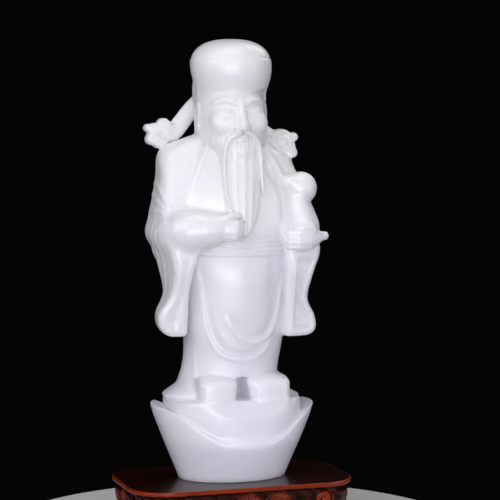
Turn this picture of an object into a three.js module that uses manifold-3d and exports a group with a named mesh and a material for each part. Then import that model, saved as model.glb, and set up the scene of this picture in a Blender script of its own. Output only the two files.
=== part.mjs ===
// God of wealth in white jade, standing on a boat-shaped ingot, on a low carved wooden stand.
// Millimetres, +Z up. The figure faces -Y. Heights of the jade are counted from the top of the stand.
import * as THREE from 'three';
import Module from 'manifold-3d';

const { Manifold, Mesh } = await Module().then((kit) => {
  kit.setup();
  return kit;
});

// Driving sizes.
const STAND = { wide: 158, deep: 92, high: 38, corner: 26, seat: 0.05 };
const FEET = { clear: 8, archX: 50, archY: 20 };
const INGOT = {
  foot: [37.2, 27],
  flare: 0.41,
  shift: 0.3,
  drift: 0.01,
  tip: 58,
  belly: 41.5,
  tipHigh: 51.8,
  rimHigh: 32.6,
  lip: 7.4,
  lean: 0.015,
};
const MOUND = { half: [45.6, 37], high: 56.8, low: 30 };
const SHOES = { left: [-5, -30.8], right: [4.2, 33] };
const HAT = { shift: 0.6, drift: 0.05, centreY: 3, crease: 286.6 };
const HEAD = { half: 24, centreY: 4, centreZ: 252 };
const JADE_TRIANGLES = 7700;
const STAND_TRIANGLES = 2000;
const JADE_STEP = 1.05;
const STAND_STEP = 1.3;

// Small tools for distances.
const { abs, min, max, sqrt, hypot, PI } = Math;

const blend = (a, b, k) => {
  const h = max(k - abs(a - b), 0) / k;
  return min(a, b) - h * h * k * 0.25;
};

const trim = (a, b, k) => -blend(-a, -b, k);

const ramp = (v, lo, hi) => {
  const t = min(max((v - lo) / (hi - lo), 0), 1);
  return t * t * (3 - 2 * t);
};

const swell = (d, w) => {
  const t = min(abs(d) / w, 1);
  return (1 - t * t) * (1 - t * t);
};

// A smooth size through a few [position, size] pairs.
function sizes(...pairs) {
  const u = pairs.map((q) => q[0]);
  const w = pairs.map((q) => q[1]);
  const n = u.length;
  const slope = w.map((_, i) => {
    const d = (j) => (w[j + 1] - w[j]) / (u[j + 1] - u[j]);
    if (i === 0) return d(0);
    if (i === n - 1) return d(n - 2);
    const before = u[i] - u[i - 1];
    const after = u[i + 1] - u[i];
    return (d(i - 1) * after + d(i) * before) / (before + after);
  });
  return (v) => {
    const x = min(max(v, u[0]), u[n - 1]);
    let i = 0;
    while (i < n - 2 && x > u[i + 1]) i += 1;
    const h = u[i + 1] - u[i];
    const t = (x - u[i]) / h;
    const t2 = t * t;
    const t3 = t2 * t;
    return (2 * t3 - 3 * t2 + 1) * w[i] + (t3 - 2 * t2 + t) * h * slope[i]
      + (3 * t2 - 2 * t3) * w[i + 1] + (t3 - t2) * h * slope[i + 1];
  };
}

const ellipsoid = (x, y, z, c, r) => {
  const u = (x - c[0]) / r[0];
  const v = (y - c[1]) / r[1];
  const w = (z - c[2]) / r[2];
  const k = sqrt(u * u + v * v + w * w) + 1e-9;
  return k * (k - 1) / (hypot(u / r[0], v / r[1], w / r[2]) + 1e-9);
};

const capsule = (x, y, z, a, b) => {
  const ex = b[0] - a[0];
  const ey = b[1] - a[1];
  const ez = b[2] - a[2];
  const px = x - a[0];
  const py = y - a[1];
  const pz = z - a[2];
  const t = min(max((px * ex + py * ey + pz * ez) / (ex * ex + ey * ey + ez * ez), 0), 1);
  return sqrt((px - ex * t) ** 2 + (py - ey * t) ** 2 + (pz - ez * t) ** 2) - a[3] - (b[3] - a[3]) * t;
};

// Points [x, y, z, radius] joined by a smooth curve.
function flow(points, per = 4) {
  const q = points.map((p) => [...p]);
  const first = q[0].map((v, i) => 2 * v - q[1][i]);
  const last = q[q.length - 1].map((v, i) => 2 * v - q[q.length - 2][i]);
  const k = [first, ...q, last];
  const out = [];
  for (let i = 1; i < k.length - 2; i += 1) {
    for (let s = 0; s < per; s += 1) {
      const t = s / per;
      out.push(k[i].map((v, c) => 0.5 * (2 * v + (k[i + 1][c] - k[i - 1][c]) * t
        + (2 * k[i - 1][c] - 5 * v + 4 * k[i + 1][c] - k[i + 2][c]) * t * t
        + (3 * v - k[i - 1][c] - 3 * k[i + 1][c] + k[i + 2][c]) * t * t * t)));
    }
  }
  out.push(q[q.length - 1]);
  return out;
}

// A round or flattened tube. squash above 1 thins it in that direction.
function tube(points, per = 4, squash = [1, 1, 1]) {
  const line = flow(points, per).map((p) => [p[0] * squash[0], p[1] * squash[1], p[2] * squash[2], p[3]]);
  const most = max(...squash);
  return (x, y, z) => {
    let d = 1e9;
    for (let i = 0; i < line.length - 1; i += 1) {
      d = min(d, capsule(x * squash[0], y * squash[1], z * squash[2], line[i], line[i + 1]));
    }
    return d / most;
  };
}

// Distance in a plane to a drawn line, with the side of the line and how far along it lies.
function drawn(points, per = 5) {
  const line = flow(points, per);
  const run = [0];
  for (let i = 1; i < line.length; i += 1) {
    run.push(run[i - 1] + hypot(line[i][0] - line[i - 1][0], line[i][1] - line[i - 1][1]));
  }
  const total = run[run.length - 1];
  return (u, v) => {
    let best = 1e9;
    let side = 0;
    let along = 0;
    for (let i = 0; i < line.length - 1; i += 1) {
      const [ax, ay] = line[i];
      const ex = line[i + 1][0] - ax;
      const ey = line[i + 1][1] - ay;
      const t = min(max(((u - ax) * ex + (v - ay) * ey) / (ex * ex + ey * ey), 0), 1);
      const dx = u - ax - ex * t;
      const dy = v - ay - ey * t;
      const d = dx * dx + dy * dy;
      if (d < best) {
        best = d;
        side = dx * ey - dy * ex;
        along = (run[i] + t * (run[i + 1] - run[i])) / total;
      }
    }
    return [sqrt(best) * (side < 0 ? -1 : 1), along];
  };
}

// Upright column of half ellipses: a across, front and back deep.
const column = (x, y, a, front, back) => {
  const b = y < 0 ? front : back;
  const k = hypot(x / a, y / b) + 1e-9;
  return k * (k - 1) / (hypot(x / (a * a), y / (b * b)) + 1e-9);
};

const slab = (x, y, hx, hy, r) => {
  const u = abs(x) - hx + r;
  const v = abs(y) - hy + r;
  return hypot(max(u, 0), max(v, 0)) + min(max(u, v), 0) - r;
};

// Ingot with its mound. It leans a little: the left tip stands higher than the right one.
const ingotDeep = sizes([0, INGOT.foot[1]], [15, 33.6], [29, INGOT.belly - 1], [38, INGOT.belly],
  [56, INGOT.belly]);

function ingot(x, y, z) {
  const u = x - INGOT.shift - INGOT.drift * z;
  const a = INGOT.foot[0] + INGOT.flare * z - 0.0075 * max(z - 40, 0) ** 2;
  const b = ingotDeep(z);
  const wall = column(u, y, a, b, b);
  const far = min(abs(u) / INGOT.tip, 1.1);
  const lip = INGOT.lip * max(1 - 1.6 * far * far, 0) * ramp(hypot(u / a, y / b), 0.91, 1.02);
  const rise = (INGOT.tipHigh - INGOT.rimHigh) * ramp(far, 0.2, 1.05);
  const back = (u < 0 ? 2 : 0.6) * swell(far - 0.84, 0.18) * ramp(y, 0, 9);
  const boat = trim(wall, z - INGOT.rimHigh - rise + INGOT.lean * u + lip - back, 1.1);
  const [mx, my] = MOUND.half;
  const oval = ((abs(x / mx) ** 3 + abs(y / my) ** 3) ** (1 / 3) - 1) * my;
  const high = MOUND.high - 2 * max(-y - 32.5, 0);
  const mound = max(trim(trim(oval, z - high, 3.6), wall + 2.5, 1), MOUND.low - z);
  return max(blend(boat, mound, 1), -2 - z);
}

// Shoes, boxy at the toe, on thin soles.
const shoeTop = sizes([-36, 67.2], [-33, 69.6], [-28, 71.8], [-24, 73.2], [-14, 74], [-6, 74.4]);

function shoe(x, y, z, side) {
  const [inner, outer] = side < 0 ? SHOES.left : SHOES.right;
  const lean = inner + (z - 62) * (side < 0 ? 0.09 : -0.2);
  const half = abs(outer - lean) / 2;
  const u = x - (outer + lean) / 2;
  const arch = 0.012 * u * u;
  const upper = slab(u, y + 12.5, half, 21 - 0.008 * u * u, 5);
  return trim(trim(upper, z - shoeTop(y) + arch, 2.4), 53 - z, 2);
}

// Robe: skirt, chest and shoulders. The hem rolls out over the mound and lifts over the shoes.
const skirtLeft = sizes([52, 45.5], [56, 46.8], [58.6, 48.4], [61, 45.6], [64.5, 40.4], [72, 36.4],
  [80, 34.4], [100, 33.5], [125, 33.5], [150, 36], [170, 40], [190, 42], [205, 42], [214, 41], [222, 35],
  [230, 22]);
const skirtRight = sizes([52, 47.4], [55, 48.2], [57.5, 44], [60, 38.8], [64, 34.8], [71, 32.2], [80, 32.8],
  [88, 34.4], [96, 35.6], [106, 35.4], [125, 34], [150, 36], [170, 40], [190, 42], [205, 42], [214, 41],
  [222, 35], [230, 22]);
const skirtFront = sizes([52, 25], [56, 25.6], [59, 27], [62, 26.4], [70, 26.6], [82, 27], [100, 29],
  [125, 31.5], [145, 32], [160, 29], [175, 27], [195, 25.5], [210, 22.5], [222, 18], [230, 12]);
const skirtBack = sizes([52, 32], [56, 32.5], [59, 33.4], [63, 30], [75, 25], [100, 24], [150, 25], [180, 26],
  [205, 25], [218, 22], [230, 12]);
const shoulderHalf = sizes([200, 38], [208, 43], [214, 46.2], [219, 47.6], [223, 46.6], [226.5, 43],
  [229.5, 38], [232, 31], [235, 22.6], [241, 18]);
const shoulderDeep = sizes([200, 20], [214, 16.5], [222, 14], [228, 12], [235, 12], [241, 11]);

const skirtHalf = (x, z) => (x < 0 ? skirtLeft(z) : skirtRight(z));

function robe(x, y, z) {
  const body = column(x, y, skirtHalf(x, z), skirtFront(z), skirtBack(z));
  const aside = x < 0 ? ramp(-x, 26.5, 30.6) : ramp(x, 29.5, 33.5);
  const hem = 54 + 17.4 * ramp(-y, 4, 14) * (1 - aside);
  const wave = 0.7 * Math.cos(x * 0.5) * ramp(-y, 12, 20);
  const hung = trim(trim(body, hem + wave - z, 1.4), z - 230, 6);
  const setBack = 4.5 * ramp(x, 20, 34) * ramp(z, 204, 218);
  const deep = shoulderDeep(z) - setBack;
  const half = shoulderHalf(z) - (x > 0 ? 3.6 * swell(z - 212, 8) : 0);
  const shoulders = trim(slab(x, y - 8.5 - setBack, half, deep, deep - 2), max(z - 241, 200 - z), 3);
  return blend(hung, shoulders, 7);
}

// Folds drawn on the front of the robe, as [across, up] points.
const outerFold = drawn([[-31, 152], [-28.8, 137], [-26.5, 118], [-23.6, 102], [-18.4, 91.4], [-11, 86],
  [1, 83.8], [9, 85.5], [16, 90], [24, 100]]);
const innerFold = drawn([[-14, 116], [-9, 106], [-2, 99], [6.3, 95.8], [13, 96.6], [19.4, 100.2], [25, 110],
  [28.5, 122], [30.6, 134], [31.5, 142]]);
const lapel = [
  drawn([[-15, 234], [-20.6, 226.7], [-28.1, 212.4], [-32, 202], [-35.1, 192.4], [-38, 182]]),
  drawn([[15, 234], [20.4, 226], [31.2, 206.4], [33.4, 196], [34, 184], [33.5, 172.7]]),
];
const armLine = drawn([[12.6, 229], [16.3, 222], [21.2, 212], [26.9, 203], [31.2, 191.5], [32.4, 181],
  [33.5, 172.5]]);

function clothRelief(x, y, z) {
  if (z < 57 || z > 236) return 0;
  if (y > 0) {
    const fall = ramp(y, 4, 14) * ramp(z, 60, 76) * (1 - ramp(z, 120, 150));
    return 0.9 * Math.cos(x * 0.42 + 0.5 * Math.sin(z * 0.045)) * fall;
  }
  const front = ramp(-y, 3, 11);
  if (z > 166) {
    const [lie, go] = lapel[x < 0 ? 0 : 1](x, z);
    const end = ramp(go, 0, 0.15) * (1 - ramp(go, 0.7, 1));
    const inner = x < 0 ? lie : -lie;
    const edge = 1.4 * swell(lie, 3.2) - 0.9 * swell(inner - 4.4, 3);
    return front * end * edge;
  }
  const [a, s] = outerFold(x, z);
  const [b, t] = innerFold(x, z);
  const fade = (v) => ramp(v, 0, 0.12) * (1 - ramp(v, 0.85, 1));
  const outer = 1.1 * swell(a, 2.6) - 0.9 * swell(a + 4, 3.4);
  const inner = 1.2 * swell(b, 2.4) - swell(b + 4, 3.6);
  return front * (outer * fade(s) + inner * fade(t));
}

// The hollow between the chest and the right arm.
function armGroove(x, y, z) {
  if (x < 4 || x > 44 || y > 0 || z < 166 || z > 236) return 0;
  const [cut, run] = armLine(x, z);
  return 3.4 * swell(cut, 5.2) * ramp(run, 0, 0.2) * (1 - ramp(run, 0.9, 1)) * ramp(-y, 4, 12);
}

// Sleeves that hang from the forearms. The right one shows its open mouth.
const sleeveOut = {
  left: sizes([97, 43], [100, 48.2], [103, 51.4], [106, 53.6], [109, 54.8], [113, 55.2], [118, 54.2],
    [123, 51.6], [128, 49.8], [136, 49.6], [146, 51.4], [155, 53.6], [163, 55], [171, 56], [180, 55.2],
    [190, 53], [205, 50.3], [214, 48.8], [222, 46]),
  right: sizes([95, 48], [98, 52.6], [101, 54.8], [104, 55.6], [108, 55.2], [113, 53.6], [118, 50.6],
    [123, 48.6], [128, 48.6], [136, 50], [146, 52.6], [152, 54.8], [158, 56], [163, 55.4], [171, 53.6],
    [180, 52.2], [190, 50], [205, 46.6], [214, 43.4], [222, 41.5]),
};
const sleeveIn = {
  left: sizes([96, 36.5], [110, 36], [134, 35.5], [147, 33], [158, 29], [170, 26], [180, 24], [230, 18]),
  right: sizes([94, 32], [110, 32], [150, 31.5], [170, 28], [180, 26], [230, 18]),
};
const sleeveFront = sizes([94, -20], [111, -21], [128, -24], [146, -28], [158, -27.5], [172, -22],
  [185, -17.5], [200, -13], [210, -9], [218, -3], [226, 5]);
const sleeveBack = sizes([94, -3], [111, -1], [128, 1], [146, 5], [158, 11], [171, 17], [190, 20], [210, 21],
  [228, 20]);
const SLEEVE_LOW = { left: [100.2, 0.003], right: [97.2, 0.006] };

function sleeve(x, y, z, side) {
  const which = side < 0 ? 'left' : 'right';
  const narrows = 0.2 * ramp(z, 122, 150) * (1 - ramp(z, 196, 214)) - 0.12 * (1 - ramp(z, 112, 128));
  const out = sleeveOut[which](z) - (side < 0 ? narrows * min(max(-y - 2, 0), 30) : 0);
  const inn = sleeveIn[which](z);
  const front = sleeveFront(z);
  const back = sleeveBack(z);
  const u = x * side - (out + inn) / 2;
  const v = y - (front + back) / 2;
  const bag = slab(u, v, (out - inn) / 2, (back - front) / 2, 4.5 + 5 * ramp(z, 155, 200));
  const [low, bow] = SLEEVE_LOW[which];
  const drape = low + bow * (abs(x) - 40) ** 2;
  const faces = ramp(-y, 4, 9);
  let mouth = swell(u + 0.6 + 0.012 * (z - 128), 4.5) * ramp(z, 104, 112) * (1 - ramp(z, 146, 158)) * faces;
  if (side > 0) {
    const across = x - (out + 34.2) / 2;
    const wide = (out - 43) / 2;
    const tall = ramp(z, 101.6, 105) * (1 - ramp(z, 148, 154));
    mouth = 5 * (1 - ramp(abs(across) - wide, -1.8, 0.6)) * tall * faces;
  }
  return trim(trim(bag, drape - z, 3.6), z - 226, 9) + mouth;
}

const foreArm = {
  left: tube([[-49.2, 8, 169, 9], [-45.4, -8, 168, 12.2], [-38, -19, 171, 14.6], [-28, -25.5, 172.6, 12.6],
    [-22, -28, 173, 10.8]], 3),
  right: tube([[48, 9, 171, 8.5], [49, -8, 168, 10.2], [46.2, -20, 166, 9.4], [41.5, -27, 165, 8.4]], 3),
};
const rightDrape = tube([[38.5, -5, 206, 7], [40, -13, 194, 8.2], [42, -18, 184, 10],
  [44.6, -20, 174, 11.2]], 3);

// Hands, belt and sceptre. A closed hand has four fingers, one over the other, bent at the joint.
const FINGER = { pitch: 3.5, r: 2.1 };
const fist = (palm, finger) => (x, y, z) => {
  let d = ellipsoid(x, y, z, palm.spot, palm.r);
  for (let i = 0; i < 4; i += 1) {
    const lift = (1.5 - i) * FINGER.pitch;
    const r = FINGER.r * (i === 0 || i === 3 ? 0.92 : 1);
    const at = ([px, py, pz], k) => [px + finger.fan * lift, py, pz + lift, r * k];
    const a = at(finger.knuckle, 1);
    const b = at(finger.joint, 0.95);
    const c = at(finger.tip, 0.82);
    d = blend(d, min(capsule(x, y, z, a, b), capsule(x, y, z, b, c)), 1.6);
  }
  return d;
};
const FINGERS = {
  left: { knuckle: [-13.5, -35.8, 173], joint: [-7.6, -37, 172.6], tip: [-3.2, -34.2, 172], fan: 0.12 },
  right: { knuckle: [45, -34.6, 165], joint: [37, -36.4, 165], tip: [30.5, -33.8, 165], fan: 0.05 },
};
const leftHand = fist({ spot: [-13.5, -31.6, 173], r: [9, 6, 7.8] }, FINGERS.left);
const leftThumb = tube([[-19, -33, 178.5, 3.2], [-13.5, -35.4, 181.6, 2.6], [-8, -35.6, 182.4, 2.1],
  [-4.6, -34.6, 181.6, 1.8]], 3);
const rightHand = fist({ spot: [43, -29.5, 165], r: [11.5, 7, 7.4] }, FINGERS.right);
const rightThumb = tube([[47, -33, 171, 3], [42, -35, 173, 2.5], [37, -34.6, 173.4, 2.1]], 3);

const sceptreStem = tube([[41, -20, 197, 5], [41, -23.5, 188, 5.6], [42.6, -26.5, 178, 5.6],
  [47, -29.6, 170, 4.2], [52.4, -29.5, 166.8, 3.3], [57.4, -28.4, 166.6, 3]], 3);

function sceptreHead(x, y, z) {
  const cap = ellipsoid(x, y, z, [44, -18, 198.6], [11, 10.4, 11.2]);
  const lobe = ellipsoid(x, y, z, [35, -20, 203.2], [4.8, 5.6, 4.4]);
  return blend(cap, lobe, 4);
}

function belt(x, y, z) {
  const middle = 161.5 - 0.02 * x;
  const ring = column(x, y, skirtHalf(x, z) + 0.6, skirtFront(z) + 1.2, skirtBack(z) + 1);
  return trim(ring, abs(z - middle) - 7.4, 2) - 0.4 * Math.cos((z - middle) * PI / 2.4) * ramp(-y, 4, 10);
}

// Head with ears and hair. The face is plain and calm.
function head(x, y, z) {
  const u = abs(x);
  const skull = ellipsoid(x, y, z, [0, HEAD.centreY, HEAD.centreZ], [HEAD.half, 24.5, 30]);
  const mask = ellipsoid(x, y, z, [0, -3.5, 244], [21.4, 22.6, 26]);
  const nape = capsule(x, y, z, [0, 8, 240, 19], [0, 9, 220, 16]);
  const ear = blend(ellipsoid(u, y, z, [23, -0.5, 249], [2.4, 4.4, 8.6]),
    ellipsoid(u, y, z, [23.2, -1.5, 240.5], [2, 2.6, 3.4]), 1.5);
  const tuck = x < 0 ? 1 - 0.6 * ramp(z, 250, 262) : 0;
  const fuller = (x > 0 ? 2 * ramp(z, 248, 258) : 0) - 0.8 * tuck;
  const lock = slab(u - 20.4 + 0.8 * tuck, y - 9.5 + 2 * tuck, 3 + fuller, 10 - 2 * tuck, 3);
  const hair = trim(lock, abs(z - 246) - 24, 4);
  const bulk = blend(blend(skull, mask, 6), nape, 6);
  return blend(blend(bulk, hair, 2), ear, 0.9);
}

const nose = tube([[0, -23.8, 257, 1.6], [0, -26.6, 249, 2.2], [0, -29.4, 241.2, 3.1]], 3);
const brow = tube([[3.6, -23.3, 256.9, 1.3], [7, -22.2, 258.5, 1.7], [10.4, -20.3, 258.9, 1.7],
  [13.6, -18, 258.2, 1.4], [16.4, -15.6, 256.8, 1]], 3);

function face(x, y, z, bare) {
  const u = abs(x);
  const hollow = ellipsoid(u, y, z, [9, -27.8, 252], [6.6, 4.4, 4.2]);
  const ball = ellipsoid(u, y, z, [9.2, -19.9, 250.4], [4.9, 4.3, 3.3]);
  const wings = ellipsoid(u, y, z, [3.3, -26.8, 240.2], [2.5, 3, 2.2]);
  const cheek = ellipsoid(u, y, z, [11.5, -18.8, 243], [8, 5.8, 7]);
  const slit = swell(z - 249.8 + 0.02 * (u - 9.2) ** 2, 0.9) * ramp(-y, 20, 22) * swell(u - 9.2, 6);
  let d = trim(blend(bare, cheek, 6), -hollow, 3.5);
  d = blend(d, ball, 1.2) + 0.35 * slit;
  d = blend(d, brow(u, y, z), 2);
  return blend(d, blend(nose(x, y, z), wings, 1.8), 2.6);
}

// Full beard: a broad part round the jaw, then long combed locks, with the moustache ends laid over them.
const jawHalf = sizes([216, 9], [220, 13], [224, 17], [228, 21], [233, 23.2], [239, 23.6], [246, 22]);
const jawDeep = sizes([216, 21], [222, 24], [228, 25.4], [233, 24.6], [238, 23], [242, 21.4], [248, 17]);
const beardHalf = sizes([166, 3], [171, 6], [180, 10], [190, 12.4], [204, 13.6], [216, 13.8], [232, 15]);
const beardFront = sizes([166, -34], [172, -34], [182, -32.6], [195, -30.6], [208, -29.2], [220, -27.6],
  [232, -24]);
const whiskers = [
  tube([[-1.8, -28, 237, 1.2], [-6.5, -27.6, 235.4, 1.8], [-11, -25.8, 230, 1.8], [-12.6, -25.6, 220, 1.7],
    [-12.8, -26.8, 208, 1.6], [-12, -28.4, 196, 1.4], [-9.6, -30.4, 187, 0.9]], 3),
  tube([[1.8, -28, 237, 1.2], [6.5, -27.6, 235.4, 1.8], [11, -25.8, 230, 1.8], [12.8, -25.4, 220, 1.7],
    [13.2, -26.2, 210, 1.5], [14, -26.6, 201, 1.2], [15.4, -26.6, 194, 0.8]], 3),
];

function beard(x, y, z) {
  const w = beardHalf(z);
  const mid = beardFront(z) + 9;
  const comb = 0.42 * Math.cos(x / max(w, 3) * PI * 4.5) * ramp(mid - y, 2, 6);
  const hang = trim(column(x, y - mid, w, 9, 9), max(z - 230, 167 - z), 5) - comb;
  const roundJaw = trim(column(x, y + 2, jawHalf(z), jawDeep(z), 16), max(z - 242, 210 - z), 6);
  const chin = ellipsoid(x, y, z, [0, -23, 226], [7.5, 5, 5.4]);
  const lower = ellipsoid(x, y, z, [0, -26, 232], [4.3, 3, 1.6]);
  const upper = ellipsoid(x, y, z, [0, -26.4, 234.5], [5.2, 2.6, 1.4]);
  const whole = blend(blend(blend(roundJaw, chin, 4), hang, 5), blend(lower, upper, 0.5), 1);
  return blend(whole, min(whiskers[0](x, y, z), whiskers[1](x, y, z)), 1);
}

// Hat.
const crownHalf = sizes([262, 22.8], [266, 24.2], [270, 25.6], [274, 26.8], [279, 27.6], [284, 27.6],
  [287, 27.1], [292, 25]);

function hat(x, y, z) {
  const r = hypot(x - HAT.shift - HAT.drift * max(286 - z, 0), y - HAT.centreY);
  const drum = trim(r - crownHalf(z), max(265.5 - z, z - 287.5), 2.4);
  const dome = (((r / 27.9) ** 2.5 + (max(z - 279, 0) / 20.4) ** 2.5) ** 0.4 - 1) * 20;
  return min(drum, trim(dome, 284 - z, 0.6)) + 0.5 * swell(z - HAT.crease, 1.2);
}

// Hat ribbons with cloud ends. The left cloud stands out behind, with one curl cut into its face. The right
// one lies on the slope of the shoulder and has a wound scroll.
const ribbon = [
  tube([[-5, 26.5, 263, 5], [-15, 24.5, 256.4, 6.2], [-23.4, 22, 249.4, 6], [-30, 20.3, 241.8, 6.1],
    [-36, 18.5, 236, 6.2], [-42, 18, 234.5, 5.5]], 3, [1, 1.9, 1]),
  tube([[5, 26.5, 263, 5], [16.5, 24.5, 250.5, 6.2], [25.5, 18, 238, 5.6], [34, 11, 231, 5.2]], 3,
    [1, 1.9, 1]),
];

// Lobes of the clouds: across, up, radius.
const CLOUD = {
  left: [[-46.6, 234, 7.8], [-43.2, 241.2, 4.7], [-53.9, 239.2, 2.8], [-49.6, 238.2, 4.4],
    [-52.1, 231.4, 3.6], [-46.4, 229.6, 4.4], [-41.5, 237.5, 6.3]],
  right: [[39.6, 229.7, 8], [47.8, 232.4, 2.9], [44.4, 222.3, 3.9], [42.4, 225.4, 5]],
};
const SCROLL = { centre: [39.6, 229.7], pitch: 3.8 };
const curl = drawn([[-46.5, 237.2], [-45.4, 233.9], [-41.5, 232.3], [-37.5, 234.1], [-36, 237.9],
  [-36.6, 241.6]]);

function plate(x, z, face, lobes) {
  let d = 1e9;
  for (const [cx, cz, r] of lobes) d = blend(d, trim(hypot(x - cx, z - cz) - r, face - 4.4, 3), 1.2);
  return d;
}

function leftCloud(x, y, z) {
  const face = abs(y - 17.5);
  const d = plate(x, z, face, CLOUD.left);
  if (d > 6) return d;
  const [cut, run] = curl(x, z);
  return d + 2.8 * swell(cut, 2) * ramp(run, 0, 0.12) * (1 - ramp(run, 0.88, 1)) * ramp(face, 2, 3.4);
}

function rightCloud(x, y, z) {
  const face = abs((y - 4 - 0.55 * (z - 222)) * 0.88);
  const d = plate(x, z, face, CLOUD.right);
  const [cx, cz] = SCROLL.centre;
  const r = hypot(x - cx, z - cz);
  const wind = r / SCROLL.pitch - Math.atan2(z - cz, cx - x) / (2 * PI) - 0.25;
  const cut = abs(wind - Math.round(wind)) * SCROLL.pitch;
  return d + 2.2 * swell(cut, 1.5) * (1 - ramp(r, 6, 7.2)) * ramp(r, 0.6, 1.4) * ramp(face, 2, 3.4);
}

// The whole jade.
function jadeField(x, y, z) {
  const wide = 3 + 5 * ramp(z, 182, 205);
  let body = robe(x, y, z) - clothRelief(x, y, z);
  body = blend(body, sleeve(x, y, z, -1), wide);
  body = blend(body, sleeve(x, y, z, 1), wide);
  body = blend(body, belt(x, y, z), 1.2);
  body = blend(body, foreArm.left(x, y, z), 3.5);
  body = blend(body, blend(foreArm.right(x, y, z), rightDrape(x, y, z), 5), 1.6) + armGroove(x, y, z);
  body = blend(body, blend(leftHand(x, y, z), leftThumb(x, y, z), 1), 1.6);
  body = blend(body, blend(rightHand(x, y, z), rightThumb(x, y, z), 1), 1.8);
  body = blend(body, sceptreStem(x, y, z), 3);
  body = blend(body, sceptreHead(x, y, z), 1.5);
  let top = face(x, y, z, head(x, y, z));
  top = blend(top, hat(x, y, z), 4);
  top = blend(top, beard(x, y, z), 1.4);
  body = blend(body, top, 1.8);
  body = blend(body, min(ribbon[0](x, y, z), ribbon[1](x, y, z)), 1);
  body = blend(body, min(leftCloud(x, y, z), rightCloud(x, y, z)), 1.6);
  const low = blend(ingot(x, y, z), min(shoe(x, y, z, -1), shoe(x, y, z, 1)), 0.7);
  return blend(body, low, 1);
}

// Wooden stand: a thin moulded edge over an apron with round tufts of needles, and scrolls at the corners.
const standInset = sizes([0, 3.4], [4, 2.6], [9, 4.6], [14, 5.5], [20, 5.1], [26, 3.9], [31, 3.2],
  [33.6, 2.6], [34.8, 1.2], [35.6, 0.3], [36.6, 0], [37.4, 0.2], [38, 0.8], [42, 0.8]);
const TUFTS = {
  front: [[-37, 21, 9.5], [-19.5, 23.5, 8], [-0.7, 25, 10.3], [20.8, 25, 10.3], [37.5, 18.5, 8],
    [9.8, 13.5, 7], [-54.5, 25, 8.4], [53, 26.5, 8], [-56, 13.5, 5.5], [54, 13, 5.5]],
  side: [[-21, 22, 9.5], [-1, 25, 9.5], [19, 21.5, 10]],
};

function tufts(x, y, z) {
  const onLong = ramp(abs(y), 35, 40) * (1 - ramp(abs(x), 62, 68));
  const onEnd = ramp(abs(x), 66, 72) * (1 - ramp(abs(y), 30, 36));
  const dome = (u, [c, up, r]) => {
    const far = hypot(u - c, z - up) / r;
    return 1.5 * sqrt(max(1 - far * far, 0)) * (1 - ramp(far, 0.86, 1));
  };
  let h = 0;
  for (const tuft of TUFTS.front) h = max(h, onLong * dome(y < 0 ? x : -x, tuft));
  for (const tuft of TUFTS.side) h = max(h, onEnd * dome(x < 0 ? -y : y, tuft));
  return h * ramp(z, 6, 9) * (1 - ramp(z, 34, 35.4));
}

function standField(x, y, z) {
  const inset = standInset(z);
  const plain = slab(x, y, STAND.wide / 2 - inset, STAND.deep / 2 - inset, STAND.corner - inset);
  const block = plain - tufts(x, y, z);
  const scallop = 1.2 * Math.cos(x * PI / 14) * ramp(FEET.archX - abs(x), 4, 12) * ramp(abs(y), 34, 38);
  const archFront = max(abs(x) - FEET.archX, z - FEET.clear - scallop);
  const archSide = max(abs(y) - FEET.archY, z - FEET.clear);
  const hollow = max(slab(x, y, STAND.wide / 2 - 16, STAND.deep / 2 - 16, 14), z - FEET.clear);
  return max(trim(block, -min(archFront, archSide, hollow), 1.5), -2 - z, z - STAND.high - 2);
}

// Surface of a field.
// A grid cell is tangled where one flat patch can't part its inner corners from its outer ones.
const TANGLED = Array.from({ length: 256 }, (_, mask) => {
  const pieces = (keep) => {
    const own = [0, 1, 2, 3, 4, 5, 6, 7].filter((c) => ((mask >> c) & 1) === keep);
    const met = new Set(own.slice(0, 1));
    for (let round = 0; round < 8; round += 1) {
      own.forEach((c) => [1, 2, 4].forEach((bit) => met.has(c ^ bit) && met.add(c)));
    }
    return met.size < own.length;
  };
  const crossed = [1, 2, 4].some((bit) => [0, bit].some((side) => {
    const [p, q] = [1, 2, 4].filter((b) => b !== bit);
    const [a, b, c, d] = [side, side | p, side | p | q, side | q].map((v) => (mask >> v) & 1);
    return a === c && b === d && a !== b;
  }));
  return crossed || pieces(0) || pieces(1);
});

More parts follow.
